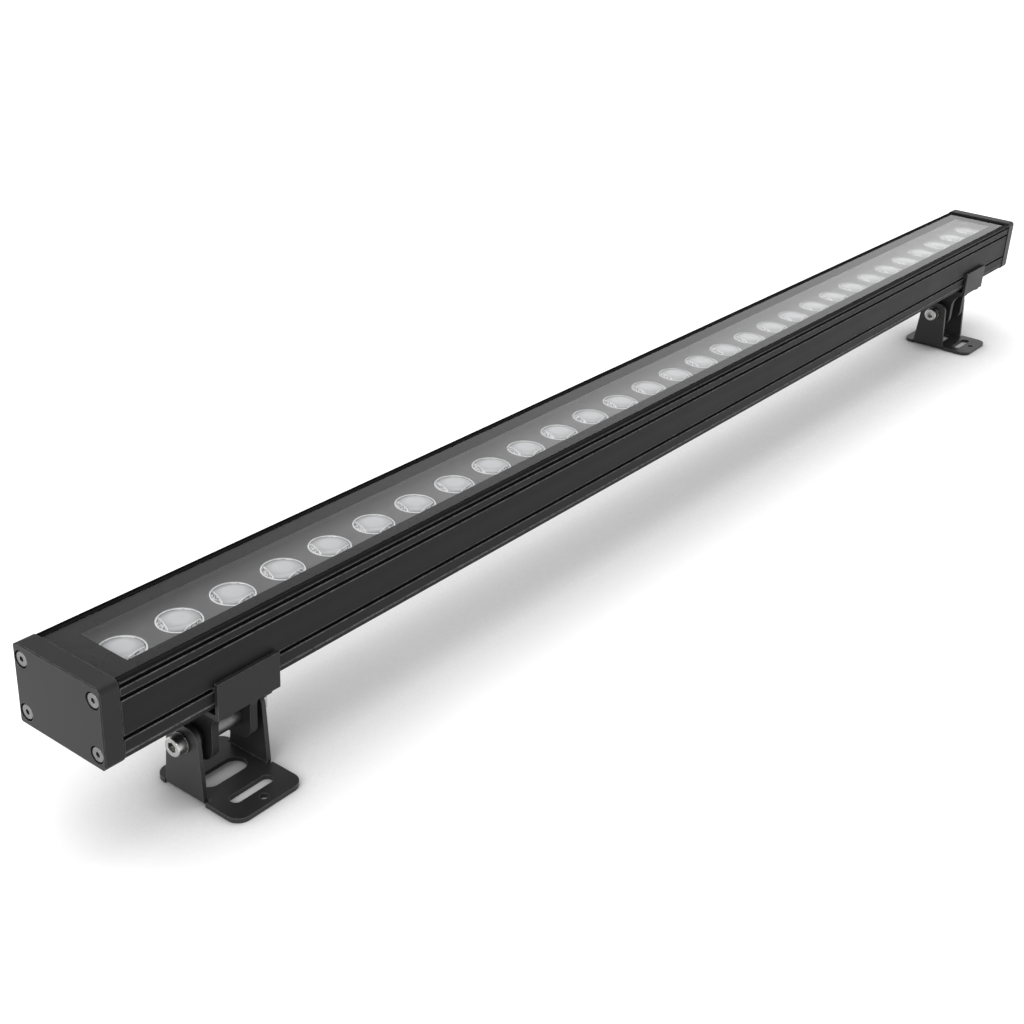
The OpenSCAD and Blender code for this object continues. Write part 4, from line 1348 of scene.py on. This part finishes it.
@dataclass
class Gland(SubAssembly):
    """The cable gland on the right end cap, with a smooth dome nut."""

    columns: int = 144
    root: float = 6.0 * MM
    heel: float = 0.5 * MM
    heel_rise: float = 0.9 * MM
    neck: float = 1.6 * MM
    neck_middle: float = 0.9 * MM
    neck_rise: float = 0.5 * MM
    neck_sink: float = 0.1 * MM
    step: float = 0.2 * MM
    dome: float = 5.0 * MM
    dome_steps: int = 14
    flutes: int = 12
    flute_depth: float = 0.25 * MM
    collar_wall: float = 1.4 * MM
    mouth_wall: float = 0.6 * MM
    mouth_trim: float = 3.0
    finishes: dict[str, Finishes] = field(
        default_factory=lambda: {
            "gland_body": Finishes.GLAND,
            "gland_ring": Finishes.RUBBER,
            "gland_insert": Finishes.RUBBER,
        }
    )

    def stations(self, flat: float, collar: float, mouth_radius: float) -> tuple[np.ndarray, np.ndarray]:
        """Gives the nut's section, out along its outside and back along its bore.

        Outside, the radius at an angle a is the lesser of the hexagon, flat / cos(a folded into
        30 degrees either side of a flat), and a cone at the heel and at the neck, and over the
        dome a quarter circle with shallow flutes, depth (1 - cos(flutes a)) / 2. Inside, it is
        round.

        Args:
            flat: half the width over the hexagon's flats.
            collar: how far in the gland's body reaches.
            mouth_radius: the radius of the hole for the cable.

        Returns:
            The stations' places along the nut, and one row of radii for each of them.
        """
        angle = around(self.columns)
        hexagon = flat / np.cos((angle + math.pi / 6.0) % (math.pi / 3.0) - math.pi / 6.0)
        flute = (1.0 - np.cos(self.flutes * angle)) / 2.0
        dome_in = flat - self.step - self.dome
        mouth_angle = math.degrees(math.acos((mouth_radius - dome_in) / self.dome)) - self.mouth_trim
        outline = arc((dome_in, self.root), self.dome, 0.0, mouth_angle, self.dome_steps)
        fade = np.sin(np.pi * np.linspace(0.0, 1.0, len(outline)))
        cones = [
            (0.0, flat),
            (self.heel, flat + self.heel_rise),
            (self.root - self.neck, math.inf),
            (self.root - self.neck_middle, flat + self.neck_rise),
            (self.root - self.step, flat - self.neck_sink),
        ]
        collar_radius = flat - self.collar_wall
        end = outline[-1, 1]
        bore = [
            (end, mouth_radius),
            (collar, mouth_radius),
            (collar, collar_radius),
            (0.0, collar_radius),
        ]
        radii = [np.minimum(hexagon, most) for _, most in cones]
        radii += list(outline[:, :1] - self.flute_depth * fade[:, None] * flute[None, :])
        radii += [np.full(self.columns, radius) for _, radius in bore]
        along = [z for z, _ in cones] + outline[:, 1].tolist() + [z for z, _ in bore]
        return np.array(along), np.array(radii)

    def build(self) -> None:
        """Makes the dome nut as one ring-shaped surface: its stations turned about X."""
        low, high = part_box("gland_nut")
        insert_low, insert_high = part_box("gland_insert")
        centre = box_centre("gland_nut")
        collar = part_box("gland_body")[1][0] - low[0] + self.step
        mouth_radius = (insert_high[1] - insert_low[1]) / 2.0 - self.mouth_wall
        along, radii = self.stations((high[1] - low[1]) / 2.0, collar, mouth_radius)
        angle = around(self.columns)
        grid = np.stack(
            [
                np.repeat(low[0] + along[:, None], self.columns, axis=1),
                centre[1] + radii * np.cos(angle),
                centre[2] + radii * np.sin(angle),
            ],
            axis=2,
        )
        # The rows are turned round, so that the faces point outwards
        made = wrap(grid[::-1]).piece("gland_dome_nut")
        self.place(made, Finishes.GLAND, "lamp", "gland", "gland_nut")


@dataclass
class Bracket(SubAssembly):
    """One clip with its foot and pivot."""

    end: str = "left"

    def __post_init__(self) -> None:
        """Names this end's CAD nodes and their finishes."""
        by_part = {
            "clip": Finishes.CLIP,
            "clip_pad": Finishes.RUBBER,
            "clamp_screws": Finishes.SCREW,
            "spacer_tube": Finishes.TUBE,
            "foot": Finishes.FOOT,
            "spacer_rings": Finishes.RING,
            "pivot_bolt": Finishes.BOLT,
            "pivot_washer": Finishes.WASHER,
            "pivot_nut": Finishes.BOLT,
        }
        self.finishes = {f"{part}_{self.end}": finish for part, finish in by_part.items()}


# The studio


@dataclass(frozen=True)
class Softbox:
    """A lamp with a rectangular face: its place, what it looks at, its size and its watts."""

    name: str
    place: Vector
    target: Vector
    size: tuple[float, float]
    watts: float

    def hang(self) -> None:
        """Makes the lamp, with its face towards its target."""
        data = bpy.data.lights.new(self.name, "AREA")
        data.shape = "RECTANGLE"
        data.size, data.size_y = self.size
        data.energy = self.watts
        away = np.subtract(self.place, self.target)
        back = away / np.linalg.norm(away)
        steep = abs(back[2]) > 0.9
        side = np.cross((0.0, 1.0, 0.0) if steep else (0.0, 0.0, 1.0), back)
        side /= np.linalg.norm(side)
        linked(self.name, data).matrix_world = posed(side, np.cross(back, side), back, self.place)


@dataclass
class Studio:
    """The floor, the lamps, the surroundings and the camera."""

    camera_place: Vector = (-0.80895, -0.42750, 0.43813)
    camera_right: Vector = (0.61068, -0.79041, 0.04824)
    camera_up: Vector = (0.32863, 0.30839, 0.89269)
    camera_back: Vector = (-0.72047, -0.52929, 0.44808)
    focal_share: float = 1496.75 / 1024.0
    sensor: float = 36.0
    floor_size: float = 40.0
    floor_gap: float = 0.2 * MM
    white: tuple[float, ...] = (1.0, 1.0, 1.0, 1.0)
    floor_color: Color = (0.52, 0.52, 0.52)
    floor_glow: float = 0.95
    shade_reach: float = 0.12
    shade_power: float = 2.0
    near_reach: float = 0.02
    shade_samples: int = 8
    sky_glow: float = 0.48
    overhead_from: float = 0.27
    overhead_to: float = 0.55
    overhead_color: Color = (0.35, 0.35, 0.35)
    lamps: tuple[Softbox, ...] = (
        Softbox("overhead_softbox", (0.0, 0.3, 1.9), (0.0, 0.0, 0.0), (2.6, 1.8), 18.0),
        Softbox("left_softbox", (-2.1, -0.3, 1.0), (-0.4, 0.0, 0.05), (1.2, 1.0), 18.5),
    )

    def build(self) -> None:
        """Makes the whole studio."""
        self._floor()
        self._world()
        for lamp in self.lamps:
            lamp.hang()
        self._camera()

    def _floor(self) -> None:
        """Lays a pale floor just under the feet, which shows bright but keeps its shadows, and whose glow
        is dimmed near the lamp as a painted shade.
        """
        half = self.floor_size / 2.0
        mesh = bpy.data.meshes.new("studio_floor")
        corners = [(-half, -half), (half, -half), (half, half), (-half, half)]
        mesh.from_pydata([(x, y, -self.floor_gap) for x, y in corners], [], [(0, 1, 2, 3)])
        made = bpy.data.materials.new("studio floor")
        made.use_nodes = True
        graph = Graph(made.node_tree)
        paint = graph.add("ShaderNodeBsdfDiffuse", {"Color": (*self.floor_color, 1.0)})
        # Painted shade: the glow is dimmed where the floor is closed in, around and under the lamp.
        wide = graph.math("POWER", self._open(graph, self.shade_reach), self.shade_power)
        shaded = graph.math("MULTIPLY", wide, self._open(graph, self.near_reach))
        seen = graph.math("MULTIPLY", graph.looking(), self.floor_glow)
        strength = graph.math("MULTIPLY", seen, shaded)
        glow = graph.add("ShaderNodeEmission", {"Color": self.white, "Strength": strength})
        both = graph.add("ShaderNodeAddShader", {0: paint.outputs[0], 1: glow.outputs[0]})
        graph.add("ShaderNodeOutputMaterial", {"Surface": both.outputs[0]})
        mesh.materials.append(made)
        linked("studio_floor", mesh)

    def _open(self, graph: Graph, reach: float) -> Socket:
        """Gives how open the floor is to the sky, as far as the reach."""
        inputs = {"Distance": reach}
        return graph.add("ShaderNodeAmbientOcclusion", inputs, samples=self.shade_samples).outputs["AO"]

    def _world(self) -> None:
        """Makes surroundings that look white, are darker overhead in mirrors, and dimmer as light."""
        world = bpy.data.worlds.new("studio surroundings")
        bpy.context.scene.world = world
        world.use_nodes = True
        graph = Graph(world.node_tree)
        height = graph.split(graph.add("ShaderNodeTexCoord").outputs["Generated"])["Z"]
        overhead = graph.ramp(height, self.overhead_from, self.overhead_to)
        mirrored = graph.tint(overhead, self.white[:3], self.overhead_color)
        straight = graph.add("ShaderNodeLightPath").outputs["Is Camera Ray"]
        shown = graph.tint(straight, mirrored, self.white[:3])
        seen = graph.add("ShaderNodeBackground", {"Color": shown, "Strength": 1.0})
        light = graph.add("ShaderNodeBackground", {"Color": self.white, "Strength": self.sky_glow})
        inputs = {0: graph.looking(), 1: light.outputs[0], 2: seen.outputs[0]}
        both = graph.add("ShaderNodeMixShader", inputs)
        graph.add("ShaderNodeOutputWorld", {"Surface": both.outputs[0]})

    def _camera(self) -> None:
        """Sets the camera where the photograph was taken from."""
        data = bpy.data.cameras.new("photo_camera")
        data.sensor_width = self.sensor
        data.lens = self.focal_share * self.sensor
        data.clip_start = 0.01
        data.clip_end = 100.0
        camera = linked("photo_camera", data)
        axes = self.camera_right, self.camera_up, self.camera_back
        camera.matrix_world = posed(*axes, self.camera_place)
        bpy.context.scene.camera = camera


def main() -> None:
    """Builds and dresses every sub-assembly and sets up the studio."""
    logging.basicConfig(level=logging.INFO, format="%(name)s: %(message)s")
    scene = bpy.context.scene
    scene.view_settings.view_transform = "Standard"
    parts = [Housing(), Window(), Optics(), Power(), Gland(), Bracket(end="left"), Bracket(end="right")]
    for part in parts:
        part.build()
        part.dress()
    Studio().build()
    bpy.context.view_layer.update()


if __name__ == "__main__":
    main()
